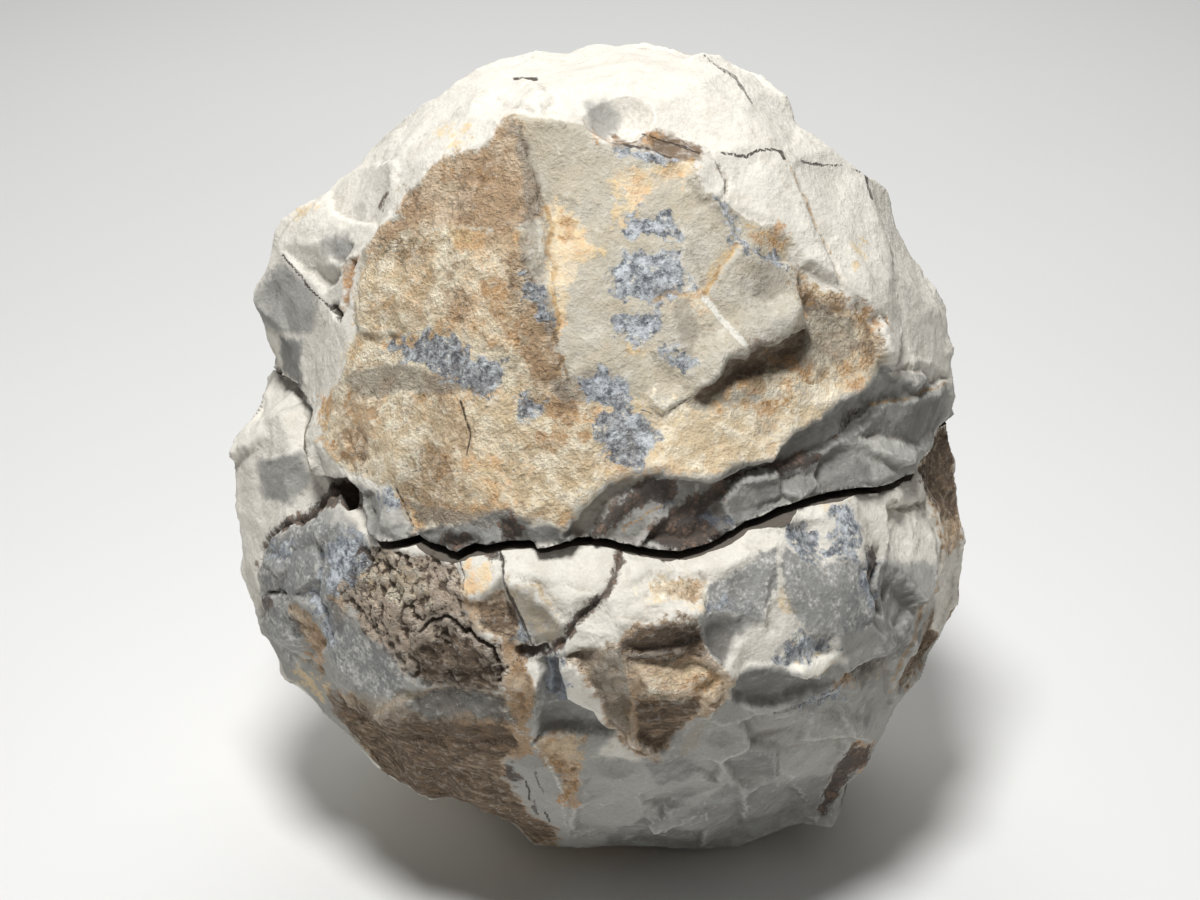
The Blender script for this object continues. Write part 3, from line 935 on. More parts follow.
def scattered(places, size, seed):
    """For points scattered one to each cube of this size: the way from each, and its chances."""
    field = np.random.default_rng(seed).random((32, 32, 32, 7))
    corner = np.floor(places / size).astype(np.int64)
    for step in product((-1, 0, 1), repeat=3):
        cube = corner + np.array(step)
        x, y, z = (cube & 31).T
        luck = field[x, y, z]
        yield places - (cube + luck[:, :3]) * size, luck[:, 3:]


def cells(places, size, seed):
    """How far off the nearest and the second nearest of scattered points are."""
    nearest = np.full(len(places), np.inf)
    second = nearest.copy()
    for way, _ in scattered(places, size, seed):
        distance = np.linalg.norm(way, axis=1)
        second = np.minimum(second, np.maximum(distance, nearest))
        nearest = np.minimum(nearest, distance)
    return nearest, second


def struck(places, size, seed, tilt, hollow):
    """Relief of struck stone: tilted hollows about this wide which meet in sharp ridges."""
    relief = np.full(len(places), np.inf)
    for way, luck in scattered(places, size, seed):
        lean = (luck[:, :3] - 0.5) * 2 * tilt
        bowl = hollow * (way * way).sum(axis=1) / size + (way * lean).sum(axis=1)
        relief = np.minimum(relief, bowl + luck[:, 3] * size * hollow * 0.3)
    return relief - hollow * size * 0.25


def face_kind(face):
    """Whether a face is on the front, the back, the hidden side of the crack or the foot."""
    centre = face.calc_center_median()
    if abs((centre - MIDDLE).dot(face.normal)) < CRACK_OFFSET:
        return CRACK
    if centre.z < FOOT_HEIGHT:
        return FOOT
    return BACK if (EYE - centre).normalized().dot(face.normal) < TURNED_AWAY else FRONT


def split_long(places, corners, kinds, limits):
    """Halve each edge longer than its kind's limit, each triangle into 2, 3 or 4; None when done."""
    pairs = np.sort(corners[:, [[0, 1], [1, 2], [2, 0]]].reshape(-1, 2), axis=1)
    edges, which = np.unique(pairs, axis=0, return_inverse=True)
    which = which.reshape(-1, 3)
    limit = np.full(len(edges), np.inf)
    np.minimum.at(limit, which.ravel(), np.repeat(limits[kinds], 3))
    long = np.linalg.norm(places[edges[:, 0]] - places[edges[:, 1]], axis=1) > limit
    if not long.any():
        return None
    middle = np.full(len(edges), -1)
    middle[long] = len(places) + np.arange(long.sum())
    places = np.vstack((places, places[edges[long]].mean(axis=1)))
    halves = middle[which]
    count = (halves >= 0).sum(axis=1)

    # Each triangle is turned so that the edges to halve come first
    first = np.where(count == 1, np.argmax(halves >= 0, axis=1), 0)
    first = np.where(count == 2, (np.argmin(halves >= 0, axis=1) + 1) % 3, first)
    turn = (first[:, None] + np.arange(3)) % 3
    a, b, c = np.take_along_axis(corners, turn, 1).T
    ab, bc, ca = np.take_along_axis(halves, turn, 1).T
    patterns = (
        ((a, b, c),),
        ((a, ab, c), (ab, b, c)),
        ((ab, b, bc), (a, ab, bc), (a, bc, c)),
        ((a, ab, ca), (ab, b, bc), (bc, c, ca), (ab, bc, ca)),
    )
    made = [
        (np.stack(shape, axis=1)[count == number], kinds[count == number])
        for number, shapes in enumerate(patterns) for shape in shapes
    ]
    return places, np.vstack([part[0] for part in made]), np.concatenate([part[1] for part in made])


class Surface:
    """One half's mesh, divided finely, with its places in millimetres as arrays to work on."""

    def __init__(self, node, sizes):
        self.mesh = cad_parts[node].data.copy()
        self.mesh.name = node + "_stone"
        self.divide(sizes)
        count = len(self.mesh.vertices)
        places = np.empty(count * 3)
        self.mesh.vertices.foreach_get("co", places)
        self.places = places.reshape(-1, 3) / MM
        edges = np.empty(len(self.mesh.edges) * 2, dtype=np.int64)
        self.mesh.edges.foreach_get("vertices", edges)
        self.edges = edges.reshape(-1, 2)
        self.middle = np.array(MIDDLE) / MM
        self.eye = np.array(EYE) / MM
        self.look()

    def divide(self, sizes):
        """Weld the mesh and split it finely: most in front, least on the face that is hidden."""
        work = bmesh.new()
        work.from_mesh(self.mesh)
        bmesh.ops.remove_doubles(work, verts=work.verts, dist=0.12 * MM)
        work.verts.index_update()
        places = np.array([vertex.co for vertex in work.verts])
        corners = np.array([[vertex.index for vertex in face.verts] for face in work.faces])
        kinds = np.array([face_kind(face) for face in work.faces])
        work.free()
        limits = np.array((sizes.front_edge, sizes.back_edge, sizes.hidden_edge, sizes.back_edge))
        parts = places, corners, kinds
        while parts:
            places, corners, kinds = parts
            parts = split_long(places, corners, kinds, limits)
        self.mesh.clear_geometry()
        self.mesh.from_pydata(places, [], corners)
        touched = np.zeros((4, len(places)), dtype=bool)
        for kind in (FRONT, BACK, CRACK, FOOT):
            touched[kind, corners[kinds == kind].ravel()] = True
        self.kinds = kinds
        self.outer = touched[FRONT] | touched[BACK]
        self.fracture = touched[CRACK]
        self.foot = touched[FOOT]

    def look(self):
        """Find each place's normal, where it shows on the sheet and how squarely it faces the eye."""
        self.mesh.vertices.foreach_set("co", (self.places * MM).ravel())
        self.mesh.update()
        normals = np.empty(len(self.places) * 3)
        self.mesh.vertices.foreach_get("normal", normals)
        self.normals = normals.reshape(-1, 3)
        outwards = self.places - self.middle
        self.outwards = outwards / np.linalg.norm(outwards, axis=1, keepdims=True)
        lost = np.linalg.norm(self.normals, axis=1) < 0.5
        self.normals[lost] = self.outwards[lost]
        sight = self.places - self.eye
        depth = -(sight @ np.array(TOWARDS))
        scale = EYE_DISTANCE / MM / depth * SHEET_SCALE
        self.sheet = np.stack([
            SHEET_CENTRE[0] + sight @ np.array(RIGHT) * scale,
            SHEET_CENTRE[1] - sight @ np.array(UP) * scale,
        ], axis=1)
        self.to_eye = -sight / np.linalg.norm(sight, axis=1, keepdims=True)
        self.facing = (self.normals * self.to_eye).sum(axis=1)
        self.front = smooth_step(self.facing, -0.05, 0.12)

    def steady_normals(self, times):
        """Normals evened out over the places around, so that relief is pushed out alike."""
        kept = self.places
        self.places = self.normals.copy()
        for _ in range(times):
            self.places = self.places + self.to_neighbours() * 0.5
        steady = self.places / np.maximum(np.linalg.norm(self.places, axis=1, keepdims=True), 0.1)
        self.places = kept
        return steady

    def near_rim(self, reach):
        """1 at the crack's edge, falling to 0 this many millimetres away from it."""
        rim = self.places[self.fracture & self.outer]
        tree = KDTree(len(rim))
        for index, place in enumerate(rim):
            tree.insert(place, index)
        tree.balance()
        distance = np.array([tree.find(place)[2] for place in self.places], dtype=float)
        return 1 - smooth_step(distance, 0, reach)

    def to_neighbours(self):
        """The way from each place to the middle of its neighbours; none at the rim and the foot."""
        a, b = self.edges.T
        count = len(self.places)
        links = np.bincount(a, minlength=count) + np.bincount(b, minlength=count)
        mean = np.empty_like(self.places)
        for axis in range(3):
            column = self.places[:, axis]
            mean[:, axis] = np.bincount(a, column[b], count) + np.bincount(b, column[a], count)
        free = self.outer & ~self.fracture & ~self.foot
        return (mean / links[:, None] - self.places) * free[:, None]

    def soften(self, times):
        """Go half the way to the middle of the neighbours, so many times."""
        for _ in range(times):
            self.places += self.to_neighbours() * 0.5

    def even_out(self, times):
        """Spread the places evenly over the surface without changing its shape."""
        for _ in range(times):
            way = self.to_neighbours()
            way -= (way * self.normals).sum(axis=1, keepdims=True) * self.normals
            self.places += way * 0.6
            self.look()

    def push(self, amounts, directions):
        """Move the outer places by these millimetres, keeping the crack's edge on its own face."""
        mixed = directions * (1 - self.rim[:, None]) + self.outwards * self.rim[:, None]
        mixed /= np.maximum(np.linalg.norm(mixed, axis=1, keepdims=True), 0.3)
        moved = amounts * (self.outer & ~self.foot)
        self.places += mixed * moved[:, None]

    def strike(self, centre, normal, width, depth):
        """Take off a flake: a shallow round bite this wide and deep, in mm."""
        radius = (width * width / 4 + depth * depth) / (2 * depth)
        ball = centre + normal * (radius - depth)
        offset = self.places - ball
        distance = np.linalg.norm(offset, axis=1)
        cut = (distance < radius) & self.outer & ~self.foot & (self.normals @ normal > 0.1)
        push = np.clip(radius - distance[cut], 0, depth * 1.3)
        away = offset[cut] / distance[cut][:, None]
        rim = self.rim[cut][:, None]
        slide = -self.outwards[cut]
        self.places[cut] += (away * (1 - rim) + slide * rim) * push[:, None]

    def hollows(self, times):
        """How many millimetres each place lies below the evened-out surface."""
        kept = self.places.copy()
        self.soften(times)
        depth = ((self.places - kept) * self.normals).sum(axis=1)
        self.places = kept
        return depth

    def nearest_on_sheet(self, x, y):
        """The place that shows nearest to this spot of the sheet."""
        gap = np.hypot(self.sheet[:, 0] - x, self.sheet[:, 1] - y) + (self.facing < 0.1) * 1000
        return int(gap.argmin())


# Zones, and how each is scattered over the far side: lump size in mm and how rare, from -1 to 1
FAR_PATCHES = {
    "marl": (60, 0.0),
    "cream": (52, 0.2),
    "sand": (44, 0.55),
    "crust": (55, 0.5),
    "taupe": (36, 0.75),
    "smoke": (30, 0.85),
    "umber": (30, 0.95),
    "rust": (13, 0.9),
    "ochre": (24, 0.7),
    "blue": (16, 0.95),
    "vein": (17, 1.0),
    "pits": (26, 0.85),
    "shell": (30, 0.8),
    "peach": (26, 0.8),
    "pale": (40, 0.4),
}


# Flakes struck off the far side: width in mm, and depth as a share of it
FLAKE_WIDTHS = (6, 26)
FLAKE_DEPTHS = (0.03, 0.085)

# Crevices of the pitted mass: size of the lumps between them and depth, in mm, and how rare
CREVICES = ((9.0, 1.9, 0.1), (4.6, 1.2, -0.1), (2.6, 0.7, 0.0))

# How far the drawings wander: size of the wander in mm, and how far in sheet units
WANDERS = ((9.0, 3.4), (2.6, 2.0))


class Half(Surface):
    """One half of the stone: its flakes, drawn relief, broken faces, crumbs, zones and lines."""

    def __init__(self, node, drawings, seed, sizes):
        super().__init__(node, sizes)
        self.drawings = drawings
        self.seed = seed
        self.sizes = sizes
        self.away = 1 if node == "upper_half" else -1
        self.field = GrainField(seed)
        self.rim = self.near_rim(RIM_REACH)
        self.soften(2)
        self.look()
        self.even_out(6)
        self.start = self.places.copy()
        self.steady = self.steady_normals(12)
        self.drawn = self.front

        # Where on the sheet each place is read from, wandering so that no outline is straight
        self.wander = np.stack([
            sum(self.noise(shift, size, 2) * reach for size, reach in WANDERS)
            for shift in (0.0, 211.0)
        ], axis=1)
        self.spots = self.sheet + self.wander
        self.bent = self.start + self.wander[:, [0, 1, 0]] * 0.25
        self.zones = self.find_zones()
        self.smooth = self.within("cream", -1, 2) * (1 - self.within("crust", -1, 1))
        self.coarse = self.within("crust", -1, 1)
        self.sandy = self.within("sand", -1, 1.5)

    def noise(self, shift, size, layers):
        """Layered noise at the places' start, from a part of the field that is this far on."""
        return self.field.layered(self.start + shift, size, layers)

    def patches(self, shift, size, low, high):
        """0 to 1 in soft patches of about this size."""
        return smooth_step(self.field.at(self.start + shift, size), low, high)

    def within(self, zone, low, high):
        """0 to 1 over this stretch of depth in a zone, in mm."""
        return smooth_step(self.zones[zone], low, high)

    def find_zones(self):
        """How deep each place lies in each zone, in mm: as drawn in front, by chance behind."""
        seen = smooth_step(self.facing, -0.22, -0.05)
        zones = {}
        for number, (zone, (size, rare)) in enumerate(FAR_PATCHES.items()):
            depth = deepest(self.spots, self.drawings["zones"].get(zone, [])) / SHEET_SCALE
            behind = (self.noise(97.0 * number, size, 4) - rare) * size * 0.3
            zones[zone] = depth * seen + np.clip(behind, -MARK_LIMIT, MARK_LIMIT) * (1 - seen)
        return zones

    def work(self):
        """Work the whole surface; gives the finished mesh."""
        self.strike_flakes()
        self.push(self.broken_faces() + self.crumbs() + self.pits_and_grooves(), self.steady)
        self.break_rim()
        self.look()
        self.keep_marks()
        return self.mesh

    def strike_flakes(self):
        """Strike broad flakes off the far side by chance, and the drawn scoops off the front."""
        chance = np.random.default_rng(self.seed)
        outer = np.flatnonzero(self.outer & ~self.foot)
        for _ in range(self.sizes.scars):
            pick = outer[chance.integers(len(outer))]
            width = chance.uniform(*FLAKE_WIDTHS)
            if self.drawn[pick] > 0.3:
                continue
            tilt = self.normals[pick] + chance.normal(size=3) * 0.16
            tilt /= np.linalg.norm(tilt)
            depth = width * chance.uniform(*FLAKE_DEPTHS)
            self.strike(self.places[pick], tilt, width, depth)
        for x, y, width, depth in self.drawings["scoops"]:
            pick = self.nearest_on_sheet(x, y)
            self.strike(self.places[pick], self.normals[pick], width, depth)

    def broken_faces(self):
        """Relief in mm: the drawn facets and steps, with smaller broken faces everywhere."""
        relief, tone = facet_relief(self.spots, self.drawings["facets"])
        relief = relief + step_relief(self.spots, self.drawings["steps"])
        self.tone = tone * self.drawn
        broken = struck(self.bent, 21, self.seed, tilt=0.10, hollow=0.22)
        little = struck(self.bent, 8, self.seed + 1, tilt=0.12, hollow=0.20)
        little *= self.patches(0, 30, -0.8, 0.8)
        least = struck(self.bent, 3.6, self.seed + 2, tilt=0.12, hollow=0.16)
        little += least * self.patches(50, 20, -0.2, 0.9)
        calm = 0.62 + 0.28 * self.smooth * (1 - self.sandy)
        strength = 1 - self.drawn * (calm - 0.26 * np.maximum(self.coarse, self.sandy))
        relief = relief * self.drawn + (broken + little) * strength
        return relief + self.noise(400, 14, 3) * 0.25

    def crumbs(self):
        """Relief in mm: the granular crust and the sandy part, most of all where it is peachy."""
        granular = -0.45 * smooth_step(cells(self.bent + 11, 2.6, self.seed + 3)[0], 0.3, 1.6)
        granular += -0.45 * smooth_step(cells(self.bent + 47, 4.4, self.seed + 4)[0], 0.8, 2.6)
        granular += self.noise(0, 3.5, 3) * 0.5
        granular *= 0.3 + 0.9 * self.patches(9, 11, -0.4, 0.7)
        peachy = self.within("peach", -1, 1) * (1 - self.smooth)
        return granular * np.maximum(self.coarse, self.sandy * 0.7) * (1 + 0.5 * peachy)

    def pits_and_grooves(self):
        """Relief in mm: crevices between the pitted mass's lumps, drawn grooves and fine grain."""
        relief = np.zeros(len(self.places))
        pitted = self.within("pits", -0.6, 0.8)
        crumpled = self.bent + self.wander[:, [1, 0, 1]] * 0.35
        for size, depth, rare in CREVICES:
            nearest, second = cells(crumpled, size, self.seed + 5)
            crevice = 1 - smooth_step(second - nearest, 0.1, 0.28 * size)
            relief -= depth * pitted * crevice * self.patches(size, 7, rare, rare + 0.7)
        relief += pitted * self.noise(70, 3.0, 3) * 0.6
        relief -= self.within("blue", -0.5, 0.8) * 0.25
        relief += self.noise(60, 0.9, 2) * self.sizes.grain / MM
        return relief + groove_relief(self.spots, self.drawings["grooves"]) * self.drawn

    def break_rim(self):
        """Let the crack's edge wander alike on both halves, and chip it away from the gap."""
        flat = self.places * (1, 1, 0)
        level = GrainField(RIM_SEED).layered(flat, 7.0, 3) * self.sizes.rim_wander / MM
        self.places[:, 2] += level * self.rim * ~self.foot
        chipped = np.abs(self.field.layered(flat, 2.4, 2)) * 0.45 - 0.15
        edge = self.fracture & self.outer
        self.places[edge, 2] += np.maximum(chipped[edge], 0) * self.away
        above = self.outer & ~self.foot
        self.places[above, 2] = np.maximum(self.places[above, 2], 0.05)

    def keep_marks(self):
        """Keep on the mesh what the finish needs: zones' depth, lines, tone and hollows."""
        marks = {**self.zones, "tone": self.tone}
        spots = self.spots - 0.55 * (self.spots - self.sheet)
        for name in ("thread", "gold", "milk"):
            marks[name] = strongest(spots, self.drawings[name]) * self.front
        behind = 1 - np.abs(self.noise(800, 30, 3)) / 0.03
        behind = np.clip(behind, 0, 0.85) * (1 - self.front)
        marks["thread"] = np.maximum(marks["thread"], behind)
        marks["hollow"] = self.hollows(10) / 0.35
        marks["cavity"] = self.hollows(1) / 0.05
        for name, values in marks.items():
            attribute = self.mesh.attributes.new(name, "FLOAT", "POINT")
            values = np.clip(values, -MARK_LIMIT, MARK_LIMIT)
            attribute.data.foreach_set("value", values.astype(np.float32))
        inside = self.mesh.attributes.new("inside", "FLOAT", "FACE")
        inside.data.foreach_set("value", (self.kinds == CRACK).astype(np.float32))
        self.mesh.shade_smooth()


# --------------------------------------------------------------------------------------------
# Finishes

class Strand:
    """One output of a node. Sums and products of strands add the nodes that work them out."""

    def __init__(self, finish, socket):
        self.finish = finish
        self.socket = socket

    def combine(self, operation, other, swapped=False):
        """The node that works out this operation, as colours or vectors where a part is one."""
        parts = (other, self) if swapped else (self, other)
        kinds = {part.socket.type for part in parts if isinstance(part, Strand)}
        if "RGBA" in kinds:
            first, second = (self.finish.as_colour(part) for part in parts)
            return self.finish.mix(1, first, second, operation)
        if "VECTOR" in kinds and operation == "MULTIPLY" and not isinstance(other, (Strand, tuple)):
            inputs = {0: self, "Scale": other}
            return self.finish.node("ShaderNodeVectorMath", {"operation": "SCALE"}, inputs)
        kind = "ShaderNodeVectorMath" if "VECTOR" in kinds else "ShaderNodeMath"
        return self.finish.node(kind, {"operation": operation}, dict(enumerate(parts)))

    def __add__(self, other):
        return self.combine("ADD", other)

    def __radd__(self, other):
        return self.combine("ADD", other, swapped=True)

    def __sub__(self, other):
        return self.combine("SUBTRACT", other)

    def __rsub__(self, other):
        return self.combine("SUBTRACT", other, swapped=True)

    def __mul__(self, other):
        return self.combine("MULTIPLY", other)

    def __rmul__(self, other):
        return self.combine("MULTIPLY", other, swapped=True)

    def __neg__(self):
        return self.combine("MULTIPLY", -1)

    def __abs__(self):
        return self.finish.node("ShaderNodeMath", {"operation": "ABSOLUTE"}, {0: self})


class Finish:
    """A material being put together, in millimetres."""

    def __init__(self, name):
        self.material = bpy.data.materials.new(name)
        self.material.use_nodes = True
        self.tree = self.material.node_tree
        self.shader = next(node for node in self.tree.nodes if node.type == "BSDF_PRINCIPLED")
        self.place = self.node("ShaderNodeTexCoord", output="Object") * (1 / MM)

    def node(self, kind, settings=None, inputs=None, output=0):
        """A node of this kind; its settings are set first, then its sockets' values or links."""
        node = self.tree.nodes.new(kind)
        for name, value in (settings or {}).items():
            setattr(node, name, value)
        for name, value in (inputs or {}).items():
            self.plug(self.find(node.inputs, name), value)
        return Strand(self, self.find(node.outputs, output))

    @staticmethod
    def find(sockets, name):
        """The socket in use that has this name, or this number."""
        used = [socket for socket in sockets if socket.enabled]
        if isinstance(name, int):
            return used[name]
        return next(socket for socket in used if socket.name == name)

    def plug(self, socket, value):
        """Link a strand to a socket, or set the socket's own value."""
        if isinstance(value, Strand):
            self.tree.links.new(value.socket, socket)
        elif socket.type == "RGBA":
            socket.default_value = (*tuple(value)[:3], 1)
        else:
            socket.default_value = value

    @staticmethod
    def as_colour(value):
        """A plain number as a grey; anything else as it is."""
        return (value, value, value) if isinstance(value, (int, float)) else value

    def set(self, name, value):
        """Set or link one of the shader's own sockets."""
        self.plug(self.shader.inputs[name], value)

    def noise(self, size, detail=3, roughness=0.55, shift=0.0, stretch=None):
        """Noise from about -1 to 1 with lumps of this many millimetres."""
        value = self.node("ShaderNodeTexNoise", {"noise_dimensions": "4D"}, {
            "Vector": self.place * stretch if stretch else self.place,
            "W": shift, "Scale": 1 / size, "Detail": detail, "Roughness": roughness,
        })
        return value * 4.6 - 2.3

    def share(self, value, low, high):
        """0 below low, 1 above high and smooth between them."""
        return self.node("ShaderNodeMapRange", {"interpolation_type": "SMOOTHSTEP"}, {
            "Value": value, "From Min": low, "From Max": high,
        })

    def mix(self, share, first, second, blend="MIX"):
        """The first colour with this share of the second laid over it."""
        settings = {"data_type": "RGBA", "blend_type": blend}
        return self.node("ShaderNodeMix", settings, {"Factor": share, "A": first, "B": second})

    def layers(self, colour, *layers):
        """A colour with others over it, each given with its share, from the lowest up."""
        for share, over in layers:
            colour = self.mix(share, colour, over)
        return colour


# Shades that go into the finish beside the colours of the sidebar
DUSTY_CHALK = (0.62, 0.58, 0.49)
EARTHY_CHALK = (0.56, 0.51, 0.42)
DARK_MARL = (0.30, 0.30, 0.29)
PANEL_CHALK = (0.63, 0.59, 0.50)
PANEL_SHADOW = (0.44, 0.39, 0.30)
PANEL_BEIGE = (0.50, 0.46, 0.37)
PANEL_LIGHT = (0.72, 0.68, 0.58)
BROWN_SAND = (0.60, 0.43, 0.26)
PALE_SAND = (0.95, 0.84, 0.63)
OLIVE_SAND = (0.50, 0.42, 0.31)
ORANGE_SAND = (0.86, 0.53, 0.25)
DARK_SAND = (0.42, 0.28, 0.16)
DARK_OCHRE = (0.62, 0.39, 0.15)
PALE_PEACH = (0.95, 0.78, 0.54)
DEEP_PEACH = (0.88, 0.55, 0.28)
PEACHY_CRUST = (0.86, 0.66, 0.45)
DARK_CRUST = (0.50, 0.38, 0.27)
LIGHT_CRUST = (0.86, 0.70, 0.51)
PITTED_SHADE = (0.66, 0.55, 0.45)
PITTED_LIGHT = (0.90, 0.78, 0.64)
BUFF = (0.80, 0.64, 0.42)
IVORY = (0.97, 0.88, 0.69)
LIGHT_SMOKE = (0.34, 0.34, 0.32)
DARK_SCALE = (0.24, 0.245, 0.24)
LIGHT_SCALE = (0.66, 0.65, 0.61)
DARK_FIBRE = (0.12, 0.08, 0.055)
ORANGE_SPOT = (0.68, 0.40, 0.18)
BROWN_STAIN = (0.24, 0.14, 0.075)
DARK_CRUMB = (0.20, 0.14, 0.09)
CLEFT = (0.09, 0.065, 0.045)
GLINT = (0.98, 0.90, 0.74)
FROST = (0.68, 0.73, 0.78)
CRYSTAL_CHALK = (0.82, 0.77, 0.66)
BLACK_GRAIN = (0.04, 0.045, 0.06)
CRACK_BROWN = (0.07, 0.052, 0.038)
LIGHT_VEIN = (0.24, 0.15, 0.10)
GOLD = (0.58, 0.35, 0.13)
DARK_GOLD = (0.30, 0.18, 0.08)
CREAM_LINE = (0.86, 0.84, 0.76)
DIRT = (0.15, 0.11, 0.08)
WORN_CHALK = (0.86, 0.83, 0.76)


class StoneFinish(Finish):
    """Chalky stone; each layer is laid over the ones before, where its mark on the mesh says."""

    def __init__(self, name, colours):
        super().__init__(name)
        self.colours = colours
        drift = self.node("ShaderNodeTexNoise", {}, {
            "Vector": self.place, "Scale": 0.3, "Detail": 3,
        }, output="Color")
        self.bent = self.place + drift * 2.2
        self.broad = self.noise(15, 5, 0.6)
        self.blotch = self.noise(10.5, 4, 0.5, shift=71)
        self.cloud = self.noise(7, 5, 0.62, shift=3)
        self.fleck = self.noise(3.4, 3, 0.5, shift=81)
        self.other = self.noise(3.2, 6, 0.7, shift=21)
        self.ragged = self.noise(2.6, 6, 0.7, shift=5)
        self.streak = self.noise(2.2, 6, 0.8, shift=31)
        self.grit = self.noise(0.9, 4, 0.65, shift=7)
        self.grains = self.noise(0.75, 3, 0.6, shift=51)
        self.speck = self.noise(0.42, 2, 0.6, shift=9)
        self.pits = self.share(self.mark("pits") + self.ragged * 0.5, -0.3, 0.6)
        self.cream = self.share(self.mark("cream") + self.ragged * 0.3, -0.35, 0.35)
        self.sand = self.stain("sand", 0.8)
        self.crust = self.stain("crust", 0.8)
        self.smoke = self.stain("smoke", 0.25)
        self.shell = self.stain("shell", 0.8)
        self.umber = self.stain("umber", 0.5)

        self.lay_clean_stone()
        self.lay_sand()
        self.lay_crust()
        self.lay_stains()
        self.lay_specks()
        self.lay_crystal()
        self.lay_veins()
        self.lay_dirt()
        self.shade_colour()
        self.set_surface()

    def mark(self, name):
        """What the mesh keeps under this name, at each place."""
        return self.node("ShaderNodeAttribute", {"attribute_name": name}, output="Fac")

    def stain(self, zone, spread, fine=None, coarse=None):
        """How much this zone shows: full inside, its edge broken up over some millimetres."""
        broken = (fine or self.ragged) * (2.4 * spread) + (coarse or self.cloud) * (1.6 * spread)
        return self.share(self.mark(zone) + broken, -0.6, 0.9)

    def cells(self, size):
        """Distance from scattered points about this many millimetres apart, 1 being that far."""
        return self.node("ShaderNodeTexVoronoi", {"feature": "F1"}, {
            "Vector": self.bent, "Scale": 1 / size, "Randomness": 1.0,
        })

    def lay(self, share, colour):
        """Lay this share of a colour over the stone so far."""
        self.stone = self.mix(share, self.stone, colour)

    def lay_clean_stone(self):
        """Chalk, the cooler grey of fresh breaks, and the broad panel's cream."""
        broad, cloud, ragged, fleck = self.broad, self.cloud, self.ragged, self.fleck
        marl = self.share(self.mark("marl") * 0.6 + cloud * 0.5 + ragged * 0.3, -0.8, 0.8)
        smoky = self.share(broad * 0.5 + cloud + ragged * 0.4, 0.2, 1.0) * marl
        self.stone = self.layers(
            self.colours.chalk,
            (self.share(cloud + ragged * 0.5, -0.3, 0.9) * 0.5, DUSTY_CHALK),
            (self.share(fleck - ragged * 0.4, 0.5, 0.9) * 0.4, EARTHY_CHALK),
            (marl * 0.92, self.colours.marl),
            (smoky * 0.4, DARK_MARL),
        )
        self.lay(self.cream, self.layers(
            PANEL_CHALK,
            (self.share(broad * 0.6 + cloud * 0.6, -0.6, 0.7), self.colours.cream),
            (self.share(ragged + cloud * 0.5, 0.1, 1.1) * 0.5, PANEL_SHADOW),
            (self.share(cloud * 0.3 - self.blotch, 0.1, 0.7) * 0.5, PANEL_BEIGE),
            (self.share(fleck - cloud * 0.6, 0.3, 0.8) * 0.6, PANEL_LIGHT),
        ))

    def lay_sand(self):
        """The panel's sandy part, in pale, greyish, olive, orange and dark patches."""
        broad, cloud, other = self.broad, self.cloud, self.other
        blotch, fleck, ragged = self.blotch, self.fleck, self.ragged
        self.lay(self.sand * 0.9, self.layers(
            BROWN_SAND,
            (self.share(blotch + fleck * 0.5 + ragged * 0.15, -0.45, 0.15), PALE_SAND),
            (self.share(other + cloud * 0.8, -0.35, 0.35) * 0.4, self.colours.sand),
            (self.share(broad * 0.8 + ragged * 0.9, 0.3, 0.8) * 0.4, OLIVE_SAND),
            (self.share(cloud - other * 0.4 + broad * 0.5, 0.0, 0.5) * 0.75, ORANGE_SAND),
            (self.share(fleck - blotch * 0.8, 0.6, 0.9) * 0.8, DARK_SAND),
        ))
        ochre = self.stain("ochre", 1.1) * self.share(ragged - other * 0.6, -0.8, 0.7)
        deep = self.share(other + self.grit * 0.5, 0.0, 0.9)
        self.lay(ochre * 0.85, self.mix(deep, self.colours.ochre, DARK_OCHRE))

    def lay_crust(self):
        """Peach stains, the tan crust with its pitted mass, and pale powder over them."""
        cloud, other, ragged = self.cloud, self.other, self.ragged
        blotch, fleck = self.blotch, self.fleck
        peachy = self.stain("peach", 1.3) * self.share(other - ragged * 0.5, -1.1, 0.7)
        deep = self.share(cloud + other * 0.6, -0.3, 0.7)
        self.lay(peachy * 0.85, self.mix(deep, PALE_PEACH, DEEP_PEACH))
        pitted = self.mix(self.share(other, -0.5, 0.7), PITTED_SHADE, PITTED_LIGHT)
        self.lay(self.crust * (0.86 - peachy * 0.3), self.layers(
            self.colours.tan,
            (self.share(blotch + fleck * 0.6 + other * 0.3, -0.3, 0.5), PEACHY_CRUST),
            (self.share(cloud + ragged * 0.5, 0.3, 0.8) * 0.6, DARK_CRUST),
            (self.share(fleck + blotch * 0.5, 0.4, 0.8) * 0.55, LIGHT_CRUST),
            (self.pits * 0.65, pitted),
        ))
        pale = self.stain("pale", 1.3, other, ragged)
        pale = pale * self.share(blotch * 0.6 + other * 0.9, -0.9, 0.3)
        light = self.share(fleck + ragged * 0.6, -0.4, 0.6)
        self.lay(pale * 0.85, self.mix(light, BUFF, IVORY))

